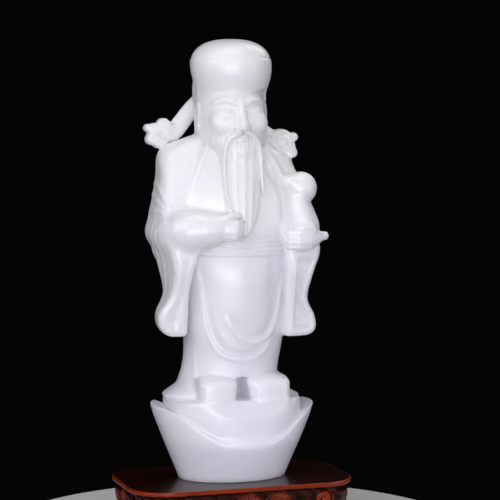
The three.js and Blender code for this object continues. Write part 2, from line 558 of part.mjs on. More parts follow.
function surface(field, lo, hi, step) {
  const n = lo.map((v, i) => Math.ceil((hi[i] - v) / step) + 1);
  const [nx, ny, nz] = n;
  const at = (i, j, k) => (i * ny + j) * nz + k;
  const value = new Float32Array(nx * ny * nz).fill(99);
  const coarse = 4;
  const reach = step * coarse * 0.9 + 3;
  for (let i = 0; i < nx; i += coarse) {
    for (let j = 0; j < ny; j += coarse) {
      for (let k = 0; k < nz; k += coarse) {
        const x = lo[0] + (i + 1.5) * step;
        const y = lo[1] + (j + 1.5) * step;
        const z = lo[2] + (k + 1.5) * step;
        const d = field(x, y, z);
        for (let a = i; a < min(i + coarse, nx); a += 1) {
          for (let b = j; b < min(j + coarse, ny); b += 1) {
            for (let c = k; c < min(k + coarse, nz); c += 1) {
              value[at(a, b, c)] = abs(d) > reach ? d
                : field(lo[0] + a * step, lo[1] + b * step, lo[2] + c * step);
            }
          }
        }
      }
    }
  }
  const strideOf = [ny * nz, nz, 1];
  const cornerAt = [0, 1, 2, 3, 4, 5, 6, 7].map((c) => (c & 1) * strideOf[0] + ((c >> 1) & 1) * strideOf[1]
    + (c >> 2));
  for (let turn = 0, found = 1; found && turn < 20; turn += 1) {
    found = 0;
    for (let i = 0; i < nx - 1; i += 1) {
      for (let j = 0; j < ny - 1; j += 1) {
        for (let k = 0; k < nz - 1; k += 1) {
          const base = at(i, j, k);
          let mask = 0;
          for (let c = 0; c < 8; c += 1) {
            if (value[base + cornerAt[c]] < 0) mask |= 1 << c;
          }
          if (!TANGLED[mask]) continue;
          let least = -1;
          for (let c = 0; c < 8; c += 1) {
            const v = value[base + cornerAt[c]];
            if (v >= 0 && (least < 0 || v < value[base + cornerAt[least]])) least = c;
          }
          value[base + cornerAt[least]] = -0.02 * step;
          found += 1;
        }
      }
    }
  }
  const number = new Int32Array(nx * ny * nz).fill(-1);
  const points = [];
  for (let i = 0; i < nx - 1; i += 1) {
    for (let j = 0; j < ny - 1; j += 1) {
      for (let k = 0; k < nz - 1; k += 1) {
        let hits = 0;
        let sx = 0;
        let sy = 0;
        let sz = 0;
        const base = at(i, j, k);
        for (let c = 0; c < 12; c += 1) {
          const axis = c >> 2;
          const p = c & 1;
          const q = (c >> 1) & 1;
          const o = axis === 0 ? [0, p, q] : axis === 1 ? [p, 0, q] : [p, q, 0];
          const va = value[base + o[0] * ny * nz + o[1] * nz + o[2]];
          o[axis] += 1;
          const vb = value[base + o[0] * ny * nz + o[1] * nz + o[2]];
          if ((va < 0) === (vb < 0)) continue;
          const t = va / (va - vb) - 1;
          sx += i + o[0] + (axis === 0 ? t : 0);
          sy += j + o[1] + (axis === 1 ? t : 0);
          sz += k + o[2] + (axis === 2 ? t : 0);
          hits += 1;
        }
        if (!hits) continue;
        number[base] = points.length / 3;
        points.push(lo[0] + step * sx / hits, lo[1] + step * sy / hits, lo[2] + step * sz / hits);
      }
    }
  }
  const corners = [];
  for (let axis = 0; axis < 3; axis += 1) {
    const s1 = strideOf[(axis + 1) % 3];
    const s2 = strideOf[(axis + 2) % 3];
    for (let i = 1; i < nx - 1; i += 1) {
      for (let j = 1; j < ny - 1; j += 1) {
        for (let k = 1; k < nz - 1; k += 1) {
          const base = at(i, j, k);
          const inside = value[base] < 0;
          if (inside === value[base + strideOf[axis]] < 0) continue;
          const ring = [base - s1 - s2, base - s2, base, base - s1].map((v) => number[v]);
          if (!inside) ring.reverse();
          corners.push(ring[0], ring[1], ring[2], ring[0], ring[2], ring[3]);
        }
      }
    }
  }
  return { points, corners };
}

// Fewer triangles, same form.
function simpler({ points, corners }, wanted) {
  const count = points.length / 3;
  const quad = new Float64Array(count * 10);
  const faces = [];
  const around = Array.from({ length: count }, () => new Set());
  for (let f = 0; f < corners.length; f += 3) {
    const tri = [corners[f], corners[f + 1], corners[f + 2]];
    faces.push(tri);
    tri.forEach((v) => around[v].add(faces.length - 1));
  }
  const normalOf = (a, b, c) => {
    const ux = points[3 * b] - points[3 * a];
    const uy = points[3 * b + 1] - points[3 * a + 1];
    const uz = points[3 * b + 2] - points[3 * a + 2];
    const vx = points[3 * c] - points[3 * a];
    const vy = points[3 * c + 1] - points[3 * a + 1];
    const vz = points[3 * c + 2] - points[3 * a + 2];
    return [uy * vz - uz * vy, uz * vx - ux * vz, ux * vy - uy * vx];
  };
  for (const [a, b, c] of faces) {
    const m = normalOf(a, b, c);
    const area = hypot(...m) + 1e-12;
    const p = m.map((v) => v / area);
    const w = -(p[0] * points[3 * a] + p[1] * points[3 * a + 1] + p[2] * points[3 * a + 2]);
    const terms = [p[0] * p[0], p[0] * p[1], p[0] * p[2], p[0] * w, p[1] * p[1], p[1] * p[2], p[1] * w,
      p[2] * p[2], p[2] * w, w * w];
    for (const v of [a, b, c]) {
      for (let i = 0; i < 10; i += 1) quad[v * 10 + i] += terms[i] * area;
    }
  }
  const costAt = (q, x, y, z) => q[0] * x * x + 2 * q[1] * x * y + 2 * q[2] * x * z + 2 * q[3] * x
    + q[4] * y * y + 2 * q[5] * y * z + 2 * q[6] * y + q[7] * z * z + 2 * q[8] * z + q[9];
  const bestSpot = (a, b) => {
    const q = new Float64Array(10);
    for (let i = 0; i < 10; i += 1) q[i] = quad[a * 10 + i] + quad[b * 10 + i];
    const pa = points.slice(3 * a, 3 * a + 3);
    const pb = points.slice(3 * b, 3 * b + 3);
    const mid = pa.map((v, i) => (v + pb[i]) / 2);
    let best = mid;
    let least = costAt(q, ...mid);
    for (const spot of [pa, pb]) {
      const c = costAt(q, ...spot);
      if (c < least) {
        least = c;
        best = spot;
      }
    }
    const det = q[0] * (q[4] * q[7] - q[5] * q[5]) - q[1] * (q[1] * q[7] - q[5] * q[2])
      + q[2] * (q[1] * q[5] - q[4] * q[2]);
    const size = (q[0] + q[4] + q[7]) / 3;
    if (det > 1e-3 * size * size * size) {
      const r = [-q[3], -q[6], -q[8]];
      const x = (r[0] * (q[4] * q[7] - q[5] * q[5]) - q[1] * (r[1] * q[7] - q[5] * r[2])
        + q[2] * (r[1] * q[5] - q[4] * r[2])) / det;
      const y = (q[0] * (r[1] * q[7] - q[5] * r[2]) - r[0] * (q[1] * q[7] - q[5] * q[2])
        + q[2] * (q[1] * r[2] - r[1] * q[2])) / det;
      const z = (q[0] * (q[4] * r[2] - r[1] * q[5]) - q[1] * (q[1] * r[2] - r[1] * q[2])
        + r[0] * (q[1] * q[5] - q[4] * q[2])) / det;
      const c = costAt(q, x, y, z);
      const length = hypot(pa[0] - pb[0], pa[1] - pb[1], pa[2] - pb[2]);
      if (c < least && hypot(x - mid[0], y - mid[1], z - mid[2]) < 2 * length) {
        least = c;
        best = [x, y, z];
      }
    }
    const span = (pa[0] - pb[0]) ** 2 + (pa[1] - pb[1]) ** 2 + (pa[2] - pb[2]) ** 2;
    return [max(least, 0) + 1e-5 * span, best];
  };
  const heap = [];
  const lift = (item) => {
    let i = heap.length;
    heap.push(item);
    while (i > 0) {
      const up = (i - 1) >> 1;
      if (heap[up][0] <= item[0]) break;
      heap[i] = heap[up];
      i = up;
    }
    heap[i] = item;
  };
  const take = () => {
    const first = heap[0];
    const item = heap.pop();
    if (heap.length) {
      let i = 0;
      for (;;) {
        let down = 2 * i + 1;
        if (down >= heap.length) break;
        if (down + 1 < heap.length && heap[down + 1][0] < heap[down][0]) down += 1;
        if (heap[down][0] >= item[0]) break;
        heap[i] = heap[down];
        i = down;
      }
      heap[i] = item;
    }
    return first;
  };
  const stamp = new Int32Array(count);
  const offer = (a, b) => {
    const [cost, spot] = bestSpot(a, b);
    lift([cost, a, b, stamp[a], stamp[b], spot]);
  };
  for (const [a, b, c] of faces) {
    if (a < b) offer(a, b);
    if (b < c) offer(b, c);
    if (c < a) offer(c, a);
  }
  const beside = (v) => {
    const out = new Set();
    around[v].forEach((f) => faces[f].forEach((u) => out.add(u)));
    out.delete(v);
    return out;
  };
  let left = faces.length;
  while (left > wanted && heap.length) {
    const [, a, b, sa, sb, spot] = take();
    if (stamp[a] !== sa || stamp[b] !== sb) continue;
    const na = beside(a);
    const nb = beside(b);
    if (!na.has(b)) continue;
    let shared = 0;
    na.forEach((v) => {
      if (nb.has(v)) shared += 1;
    });
    if (shared !== 2) continue;
    const old = [points.slice(3 * a, 3 * a + 3), points.slice(3 * b, 3 * b + 3)];
    const kept = [];
    for (const v of [a, b]) {
      around[v].forEach((f) => {
        if (!(faces[f].includes(a) && faces[f].includes(b))) kept.push([f, normalOf(...faces[f])]);
      });
    }
    const place = (v, p) => p.forEach((c, i) => {
      points[3 * v + i] = c;
    });
    place(a, spot);
    place(b, spot);
    const bad = kept.some(([f, m]) => {
      const w = normalOf(...faces[f]);
      const dot = w[0] * m[0] + w[1] * m[1] + w[2] * m[2];
      const [p, q, r] = faces[f];
      const edge = [[p, q], [q, r], [r, p]].map(([u, v]) => (points[3 * u] - points[3 * v]) ** 2
        + (points[3 * u + 1] - points[3 * v + 1]) ** 2 + (points[3 * u + 2] - points[3 * v + 2]) ** 2);
      return dot < 0.3 * hypot(...w) * hypot(...m) || hypot(...w) < 0.03 * max(...edge);
    });
    if (bad) {
      place(a, old[0]);
      place(b, old[1]);
      continue;
    }
    around[b].forEach((f) => {
      if (faces[f].includes(a)) {
        faces[f].forEach((v) => v !== b && around[v].delete(f));
        faces[f] = null;
        left -= 1;
      } else {
        faces[f] = faces[f].map((v) => (v === b ? a : v));
        around[a].add(f);
      }
    });
    around[b].clear();
    for (let i = 0; i < 10; i += 1) quad[a * 10 + i] += quad[b * 10 + i];
    stamp[b] += 1;
    stamp[a] += 1;
    beside(a).forEach((v) => offer(a, v));
  }
  const used = new Map();
  const outPoints = [];
  const outCorners = [];
  for (const tri of faces) {
    if (!tri) continue;
    for (const v of tri) {
      if (!used.has(v)) {
        used.set(v, outPoints.length / 3);
        outPoints.push(points[3 * v], points[3 * v + 1], points[3 * v + 2]);
      }
      outCorners.push(used.get(v));
    }
  }
  return { points: outPoints, corners: outCorners };
}

// Solids.
const solidOf = ({ points, corners }) => new Manifold(new Mesh({
  numProp: 3,
  vertProperties: new Float32Array(points),
  triVerts: new Uint32Array(corners),
}));

function blockOf(wide, deep, high, x, y, z) {
  const box = new THREE.BoxGeometry(wide, deep, high);
  box.translate(x, y, z);
  const spot = box.attributes.position;
  const seen = new Map();
  const points = [];
  const corners = [];
  for (const v of box.index.array) {
    const key = [spot.getX(v), spot.getY(v), spot.getZ(v)].join();
    if (!seen.has(key)) {
      seen.set(key, points.length / 3);
      points.push(spot.getX(v), spot.getY(v), spot.getZ(v));
    }
    corners.push(seen.get(key));
  }
  return solidOf({ points, corners });
}

function meshOf(name, solid, look) {
  const { vertProperties, triVerts } = solid.getMesh();
  const geometry = new THREE.BufferGeometry();
  geometry.setAttribute('position', new THREE.BufferAttribute(new Float32Array(vertProperties), 3));
  geometry.setIndex(new THREE.BufferAttribute(new Uint32Array(triVerts), 1));
  geometry.computeVertexNormals();
  const mesh = new THREE.Mesh(geometry, new THREE.MeshStandardMaterial(look));
  mesh.name = name;
  return mesh;
}

const ground = STAND.high + STAND.seat;
const jadeRough = simpler(surface((x, y, z) => jadeField(x, y, z - ground), [-72, -52, ground - 4],
  [74, 48, ground + 303], JADE_STEP), JADE_TRIANGLES);
const jade = solidOf(jadeRough).subtract(blockOf(300, 300, 60, 0, 0, ground - 30));

const standRough = simpler(surface(standField, [-84, -52, -4], [84, 52, 42], STAND_STEP), STAND_TRIANGLES);
const stand = solidOf(standRough)
  .subtract(blockOf(300, 300, 60, 0, 0, -30))
  .subtract(blockOf(300, 300, 60, 0, 0, STAND.high + 30));

const figure = new THREE.Group();
figure.name = 'jade_god_of_wealth';
figure.add(meshOf('jade_figure', jade, { color: 0xf1f2f0, roughness: 0.3, metalness: 0 }));
figure.add(meshOf('wood_stand', stand, { color: 0x5a1d14, roughness: 0.3, metalness: 0 }));

export default figure;
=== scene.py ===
"""White jade god of wealth on an ingot and a carved rosewood stand. Shapes are in millimetres."""
import math
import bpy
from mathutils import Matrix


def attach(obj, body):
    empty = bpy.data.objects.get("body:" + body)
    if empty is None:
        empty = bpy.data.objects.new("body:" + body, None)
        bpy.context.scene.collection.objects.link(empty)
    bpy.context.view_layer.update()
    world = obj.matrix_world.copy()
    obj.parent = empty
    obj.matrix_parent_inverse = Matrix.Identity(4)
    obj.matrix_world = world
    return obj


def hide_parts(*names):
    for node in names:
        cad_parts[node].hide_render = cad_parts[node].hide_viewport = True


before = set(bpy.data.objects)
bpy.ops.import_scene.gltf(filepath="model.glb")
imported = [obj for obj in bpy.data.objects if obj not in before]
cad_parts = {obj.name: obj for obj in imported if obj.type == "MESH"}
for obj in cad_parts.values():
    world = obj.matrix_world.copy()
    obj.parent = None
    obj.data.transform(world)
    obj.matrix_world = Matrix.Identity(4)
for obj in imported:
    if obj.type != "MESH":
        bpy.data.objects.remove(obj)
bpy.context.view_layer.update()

from concurrent.futures import ThreadPoolExecutor

import bpy
import numpy as np
from mathutils import Vector

F = np.float32
MM = 0.001

# Driving sizes in millimetres. Heights of the jade count from the top of the stand. Left is -X, as seen from
# the front, and so is side -1.
STAND = {"wide": 158, "deep": 92, "high": 38, "corner": 26, "seat": 0.05}
FEET = {"clear": 8, "thick": 16, "arch_x": 50, "arch_y": 20}
INGOT = {"foot": (37.2, 27), "flare": 0.41, "shift": 0.3, "drift": 0.01, "tip": 58, "belly": 41.5,
         "tip_high": 51.8, "rim_high": 32.6, "lip": 7.4, "lean": 0.015}
MOUND = {"half": (45.6, 37), "high": 56.8, "low": 30}
SHOES = {-1: (-5, -30.8), 1: (4.2, 33)}
HAT = {"shift": 0.6, "drift": 0.05, "centre_y": 3, "crease": 286.6, "dome": (27.9, 20.4), "fullness": 2.5}
HEAD = {"half": 24, "centre_y": 4, "centre_z": 252}
# How light the flat top is painted: dark for its own stain and also as painted shade for the dark room it
# reflects. Also how strongly the top and the hollows of the sides shine. What polish_gain adds goes to the
# raised parts.
WEAR_SHADING_POLISH = {"top_wear_and_shading": 0.16, "top_polish": 0.5, "hollow_polish": 0.08, "polish_gain": 0.22}
# Grids that the pieces are worked out on. A coarse grid comes first, and then the points of the fine one that
# lie within half a coarse cell's diagonal of the surface, with some slack in millimetres.
JADE_GRID = {"low": (-68, -50, -6), "high": (70, 50, 304), "step": 0.6}
STAND_GRID = {"low": (-83, -50, -4), "high": (83, 50, 42), "step": 0.5}
COARSE = 4
HALF_DIAGONAL = 0.87
SLACK = 1.6
BATCH = 30000
MOST_TRIANGLES = 190000


# Distances and shapes, each worked on whole arrays of points.
def blend(a, b, k):
    """Two shapes joined, with the seam between them rounded over about k."""
    h = np.maximum(k - np.abs(a - b), 0) / k
    return np.minimum(a, b) - h * h * (k * 0.25)


def trim(a, b, k):
    """What two shapes share, with its edge rounded over about k."""
    return -blend(-a, -b, k)


def ramp(v, lo, hi):
    """A smooth rise from 0 at lo to 1 at hi."""
    t = np.clip((v - lo) / (hi - lo), 0, 1)
    return t * t * (3 - 2 * t)


def swell(d, w):
    """A smooth bump: 1 where d is 0, and 0 from w on."""
    t = np.minimum(np.abs(d) / w, 1)
    return (1 - t * t) ** 2


def sizes(*pairs):
    """A smooth size through a few (position, size) pairs."""
    u = np.array([q[0] for q in pairs], float)
    w = np.array([q[1] for q in pairs], float)
    gap = np.diff(u)
    rate = np.diff(w) / gap
    slope = np.empty_like(w)
    slope[0], slope[-1] = rate[0], rate[-1]
    slope[1:-1] = (rate[:-1] * gap[1:] + rate[1:] * gap[:-1]) / (gap[1:] + gap[:-1])

    def size(v):
        x = np.clip(v, u[0], u[-1])
        i = np.clip(np.searchsorted(u, x, side="right") - 1, 0, len(u) - 2)
        h = gap[i]
        t = (x - u[i]) / h
        t2, t3 = t * t, t * t * t
        return ((2 * t3 - 3 * t2 + 1) * w[i] + (t3 - 2 * t2 + t) * h * slope[i]
                + (3 * t2 - 2 * t3) * w[i + 1] + (t3 - t2) * h * slope[i + 1]).astype(F)
    return size


def ellipsoid(x, y, z, c, r):
    """Distance to an egg shape with middle c and half sizes r."""
    u, v, w = (x - c[0]) / r[0], (y - c[1]) / r[1], (z - c[2]) / r[2]
    k = np.sqrt(u * u + v * v + w * w) + 1e-6
    return k * (k - 1) / (np.sqrt((u / r[0]) ** 2 + (v / r[1]) ** 2 + (w / r[2]) ** 2) + 1e-6)


def capsule(x, y, z, a, b):
    """Distance to a round bar from a to b, each given as (x, y, z, radius)."""
    ex, ey, ez = b[0] - a[0], b[1] - a[1], b[2] - a[2]
    px, py, pz = x - a[0], y - a[1], z - a[2]
    t = np.clip((px * ex + py * ey + pz * ez) / (ex * ex + ey * ey + ez * ez), 0, 1)
    return np.sqrt((px - ex * t) ** 2 + (py - ey * t) ** 2 + (pz - ez * t) ** 2) - a[3] - (b[3] - a[3]) * t


def flow(points, per):
    """A smooth curve through the points, as a line with so many steps from each point to the next."""
    q = np.array(points, float)
    q = np.vstack([2 * q[0] - q[1], q, 2 * q[-1] - q[-2]])
    out = []
    for i in range(1, len(q) - 2):
        a, b, c, d = q[i - 1:i + 3]
        for s in range(per):
            t = s / per
            out.append(0.5 * (2 * b + (c - a) * t + (2 * a - 5 * b + 4 * c - d) * t * t
                              + (3 * b - a - 3 * c + d) * t ** 3))
    out.append(q[-2])
    return [tuple(float(v) for v in p) for p in out]


def tube(points, per=3, squash=(1, 1, 1)):
    """A round tube of (x, y, z, radius). A squash above 1 thins it that way."""
    line = [(p[0] * squash[0], p[1] * squash[1], p[2] * squash[2], p[3]) for p in flow(points, per)]
    most = max(squash)
    far = [(min(p[i] / squash[i] - p[3] for p in line) - 8, max(p[i] / squash[i] + p[3] for p in line) + 8)
           for i in range(3)]

    def shape(x, y, z):
        d = None
        for a, b in zip(line[:-1], line[1:]):
            c = capsule(x * squash[0], y * squash[1], z * squash[2], a, b)
            d = c if d is None else np.minimum(d, c)
        return d / most

    low, high = zip(*far)
    return lambda x, y, z: within(x, y, z, low, high, shape)


def within(x, y, z, low, high, shape, away=40.0):
    """shape(x, y, z) inside the box low to high. Elsewhere a plain large distance."""
    near = (x > low[0]) & (x < high[0]) & (y > low[1]) & (y < high[1]) & (z > low[2]) & (z < high[2])
    out = np.full(x.shape, away, F)
    if near.any():
        out[near] = shape(x[near], y[near], z[near])
    return out


def drawn(points):
    """Signed distance in a plane to a drawn line, and how far along it lies, 0 to 1."""
    line = np.array(flow(points, 5))
    seg = np.hypot(*np.diff(line, axis=0).T)
    run = np.concatenate([[0], np.cumsum(seg)])

    def at(u, v):
        best = np.full(u.shape, 1e9, F)
        side = np.zeros(u.shape, F)
        along = np.zeros(u.shape, F)
        for i in range(len(seg)):
            ax, ay = line[i]
            ex, ey = line[i + 1] - line[i]
            t = np.clip(((u - ax) * ex + (v - ay) * ey) / (seg[i] * seg[i]), 0, 1)
            dx, dy = u - ax - ex * t, v - ay - ey * t
            d = dx * dx + dy * dy
            near = d < best
            best = np.where(near, d, best)
            side = np.where(near, dx * ey - dy * ex, side)
            along = np.where(near, (run[i] + t * seg[i]) / run[-1], along)
        return np.where(side < 0, -1, 1) * np.sqrt(best), along
    return at


def column(x, y, a, front, back):
    """Distance to an upright oval column of half width a, with its own depth in front and behind."""
    b = np.where(y < 0, front, back)
    k = np.hypot(x / a, y / b) + 1e-6
    return k * (k - 1) / (np.hypot(x / (a * a), y / (b * b)) + 1e-6)


def slab(x, y, hx, hy, r):
    """Distance to an upright block with half sizes hx and hy and corner radius r."""
    u, v = np.abs(x) - hx + r, np.abs(y) - hy + r
    return np.hypot(np.maximum(u, 0), np.maximum(v, 0)) + np.minimum(np.maximum(u, v), 0) - r


# Ingot with its mound. It leans a little: the left tip stands higher than the right one.
ingot_deep = sizes((0, INGOT["foot"][1]), (15, 33.6), (29, INGOT["belly"] - 1), (38, INGOT["belly"]),
                   (56, INGOT["belly"]))


def ingot(x, y, z):
    """A boat with rising tips and a lip that dips in front, and the mound inside its rim."""
    u = x - INGOT["shift"] - INGOT["drift"] * z
    a = INGOT["foot"][0] + INGOT["flare"] * z - 0.0075 * np.maximum(z - 40, 0) ** 2
    b = ingot_deep(z)
    out = np.hypot(u / a, y / b)
    far = np.minimum(np.abs(u) / INGOT["tip"], 1.1)
    lip = INGOT["lip"] * np.maximum(1 - 1.6 * far * far, 0) * ramp(out, 0.91, 1.02)
    rise = (INGOT["tip_high"] - INGOT["rim_high"]) * ramp(far, 0.2, 1.05)
    bead = (0.5 * swell(out - 0.912, 0.025) - 0.5 * swell(out - 0.955, 0.03)) * ramp(np.abs(y), 8, 20)
    tip_swell = np.where(u < 0, 2, 0.6) * swell(far - 0.84, 0.18) * ramp(y, 0, 9)
    rim = INGOT["rim_high"] + rise - INGOT["lean"] * u - lip + bead + tip_swell
    wall = column(u, y, a, b, b)
    boat = trim(wall, z - rim, 1.1)
    mx, my = MOUND["half"]
    oval = ((np.abs(x / mx) ** 3 + np.abs(y / my) ** 3) ** (1 / 3) - 1) * my
    high = MOUND["high"] - 2 * np.maximum(-y - 32.5, 0)
    mound = np.maximum(trim(trim(oval, z - high, 3.6), wall + 2.5, 1), MOUND["low"] - z)
    return trim(blend(boat, mound, 1), -z, 0.6)


# Shoes, boxy at the toe, on thin soles.
shoe_top = sizes((-36, 67.2), (-33, 69.6), (-28, 71.8), (-24, 73.2), (-14, 74), (-6, 74.4))


def shoe(x, y, z, side):
    """One shoe, with a narrow welt round its sole."""
    inner, outer = SHOES[side]
    tilt = (z - 62) * (0.09 if side < 0 else -0.2)
    a, b = (outer, inner + tilt) if side < 0 else (inner + tilt, outer)
    u = x - (a + b) / 2
    welt = 0.5 * (1 - ramp(z, 57.6, 58.4))
    sole = slab(u, y + 12.5, (b - a) / 2 + welt, 21 - 0.008 * u * u + welt, 5)
    return trim(trim(sole, z - shoe_top(y) + 0.012 * u * u, 2.4), 53 - z, 2)


# Robe: skirt, chest and shoulders. The hem rolls out over the mound and lifts over the shoes.
chest = ((150, 36), (170, 40), (190, 42), (205, 42), (214, 41), (222, 35), (230, 22))
skirt_left = sizes((52, 45.5), (56, 46.8), (58.6, 48.4), (61, 45.6), (64.5, 40.4), (72, 36.4), (80, 34.4),
                   (100, 33.5), (125, 33.5), *chest)
skirt_right = sizes((52, 47.4), (55, 48.2), (57.5, 44), (60, 38.8), (64, 34.8), (71, 32.2), (80, 32.8),
                    (88, 34.4), (96, 35.6), (106, 35.4), (125, 34), *chest)
skirt_front = sizes((52, 25), (56, 25.6), (59, 27), (62, 26.4), (70, 26.6), (82, 27), (100, 29), (125, 31.5),
                    (145, 32), (160, 29), (175, 27), (195, 25.5), (210, 22.5), (222, 18), (230, 12))
skirt_back = sizes((52, 32), (56, 32.5), (59, 33.4), (63, 30), (75, 25), (100, 24), (150, 25), (180, 26),
                   (205, 25), (218, 22), (230, 12))
shoulder_half = sizes((200, 38), (208, 43), (214, 46.2), (219, 47.6), (223, 46.6), (226.5, 43), (229.5, 38),
                      (232, 31), (235, 22.6), (241, 18))
shoulder_deep = sizes((200, 20), (214, 16.5), (222, 14), (228, 12), (235, 12), (241, 11))


def skirt_half(x, z):
    return np.where(x < 0, skirt_left(z), skirt_right(z))


def robe(x, y, z):
    body = column(x, y, skirt_half(x, z), skirt_front(z), skirt_back(z))
    over_shoes = ramp(-y, 4, 14) * (1 - np.where(x < 0, ramp(-x, 26.5, 30.6), ramp(x, 29.5, 33.5)))
    lifted = 54 + 17.4 * over_shoes + 0.7 * np.cos(x * 0.5) * ramp(-y, 12, 20)
    hung = trim(trim(body, lifted - z, 1.4), z - 230, 6)
    set_back = 4.5 * ramp(x, 20, 34) * ramp(z, 204, 218)
    deep = shoulder_deep(z) - set_back
    half = shoulder_half(z) - 3.6 * (x > 0) * swell(z - 212, 8)
    shoulders = trim(slab(x, y - 8.5 - set_back, half, deep, deep - 2), np.maximum(z - 241, 200 - z), 3)
    return blend(hung, shoulders, 7)


# Folds drawn on the front of the robe, as (across, up) points.
outer_fold = drawn([(-31, 152), (-28.8, 137), (-26.5, 118), (-23.6, 102), (-18.4, 91.4), (-11, 86), (1, 83.8),
                    (9, 85.5), (16, 90), (24, 100)])
inner_fold = drawn([(-14, 116), (-9, 106), (-2, 99), (6.3, 95.8), (13, 96.6), (19.4, 100.2), (25, 110),
                    (28.5, 122), (30.6, 134), (31.5, 142)])
middle_fold = drawn([(-22, 126), (-19, 110), (-13, 99), (-5, 92), (2, 90)])
arm_line = drawn([(12.6, 229), (16.3, 222), (21.2, 212), (26.9, 203), (31.2, 191.5), (32.4, 181),
                  (33.5, 172.5)])
lapel = [drawn([(-15, 234), (-20.6, 226.7), (-25, 219), (-28.1, 212.4), (-32, 202), (-35.1, 192.4),
                (-38, 182)]),
         drawn([(15, 234), (20.4, 226), (26, 216), (31.2, 206.4), (33.4, 196), (34, 184), (33.5, 172.7)])]


def drawn_folds(x, z):
    """Height of the lapels on the chest, and of the looped folds under the belt."""
    left = x < 0
    h = np.zeros(x.shape, F)
    top = z > 166
    if top.any():
        u, w, side = x[top], z[top], left[top]
        lie, go = np.empty_like(u), np.empty_like(u)
        for s, pick in ((0, side), (1, ~side)):
            if pick.any():
                lie[pick], go[pick] = lapel[s](u[pick], w[pick])
        inner = np.where(side, lie, -lie)
        end = ramp(go, 0, 0.15) * (1 - ramp(go, 0.7, 1))
        wide = np.where(side, 2.6, 3.4)
        h[top] = end * (np.where(side, 1.1, 1.6) * swell(lie, wide) - 0.7 * swell(inner - wide - 1.2, 2.8))
    low = ~top
    if low.any():
        u, w = x[low], z[low]
        fade = lambda v: ramp(v, 0, 0.12) * (1 - ramp(v, 0.85, 1))
        a, s = outer_fold(u, w)
        b, t = inner_fold(u, w)
        c, r = middle_fold(u, w)
        h[low] = (fade(s) * (1.1 * swell(a, 2.4) - 0.9 * swell(a + 4, 3.4)) + 0.25 * swell(c, 2) * fade(r)
                  + fade(t) * (1.2 * swell(b, 2.2) - 1.0 * swell(b + 4, 3.6)))
    return h


def cloth_relief(x, y, z):
    """Height of all folds on the robe, in front and behind."""
    out = np.zeros(x.shape, F)
    use = (z > 57) & (z < 236)
    back = use & (y > 0)
    if back.any():
        u, v, w = x[back], y[back], z[back]
        fall = ramp(v, 4, 14) * ramp(w, 60, 76) * (1 - ramp(w, 120, 150))
        high = ramp(v, 4, 14) * ramp(w, 176, 188) * (1 - ramp(w, 205, 222))
        out[back] = (0.9 * np.cos(u * 0.42 + 0.5 * np.sin(w * 0.045)) * fall
                     + 0.6 * swell(np.abs(u) - 12 - 0.25 * (w - 176), 4) * high)
    front = use & (y < -3)
    if front.any():
        u, v, w = x[front], y[front], z[front]
        pleat = 0.5 * swell(u + 30.6 - 0.03 * (w - 72), 1.6) * (1 - ramp(w, 84, 96)) * ramp(w, 58, 64)
        out[front] = (drawn_folds(u, w) + pleat) * ramp(-v, 3, 11)
    return out


def arm_groove(x, y, z):
    """The hollow between the chest and the right arm."""
    def shape(x, y, z):
        cut, run = arm_line(x, z)
        return 3.4 * swell(cut, 5.2) * ramp(run, 0, 0.2) * (1 - ramp(run, 0.9, 1)) * ramp(-y, 4, 12)
    return within(x, y, z, (4, -44, 166), (44, 0, 236), shape, 0.0)


# Sleeves that hang from the forearms. The right one shows its open mouth.
sleeve_out = [sizes((97, 43), (100, 48.2), (103, 51.4), (106, 53.6), (109, 54.8), (113, 55.2), (118, 54.2),
                    (123, 51.6), (128, 49.8), (136, 49.6), (146, 51.4), (155, 53.6), (163, 55), (171, 56),
                    (180, 55.2), (190, 53), (205, 50.3), (214, 48.8), (222, 46)),
              sizes((95, 48), (98, 52.6), (101, 54.8), (104, 55.6), (108, 55.2), (113, 53.6), (118, 50.6),
                    (123, 48.6), (128, 48.6), (136, 50), (146, 52.6), (152, 54.8), (158, 56), (163, 55.4),
                    (171, 53.6), (180, 52.2), (190, 50), (205, 46.6), (214, 43.4), (222, 41.5))]
sleeve_in = [sizes((96, 36.5), (110, 36), (134, 35.5), (147, 33), (158, 29), (170, 26), (180, 24), (230, 18)),
             sizes((94, 32), (110, 32), (150, 31.5), (170, 28), (180, 26), (230, 18))]
sleeve_front = sizes((94, -20), (111, -21), (128, -24), (146, -28), (158, -27.5), (172, -22), (185, -17.5),
                     (200, -13), (210, -9), (218, -3), (226, 5))
sleeve_back = sizes((94, -3), (111, -1), (128, 1), (146, 5), (158, 11), (171, 17), (190, 20), (210, 21),
                    (228, 20))
SLEEVE_LOW = {-1: (100.2, 0.003), 1: (97.2, 0.006)}
MOUTH = {"inner": 38.6, "border": 4.4}


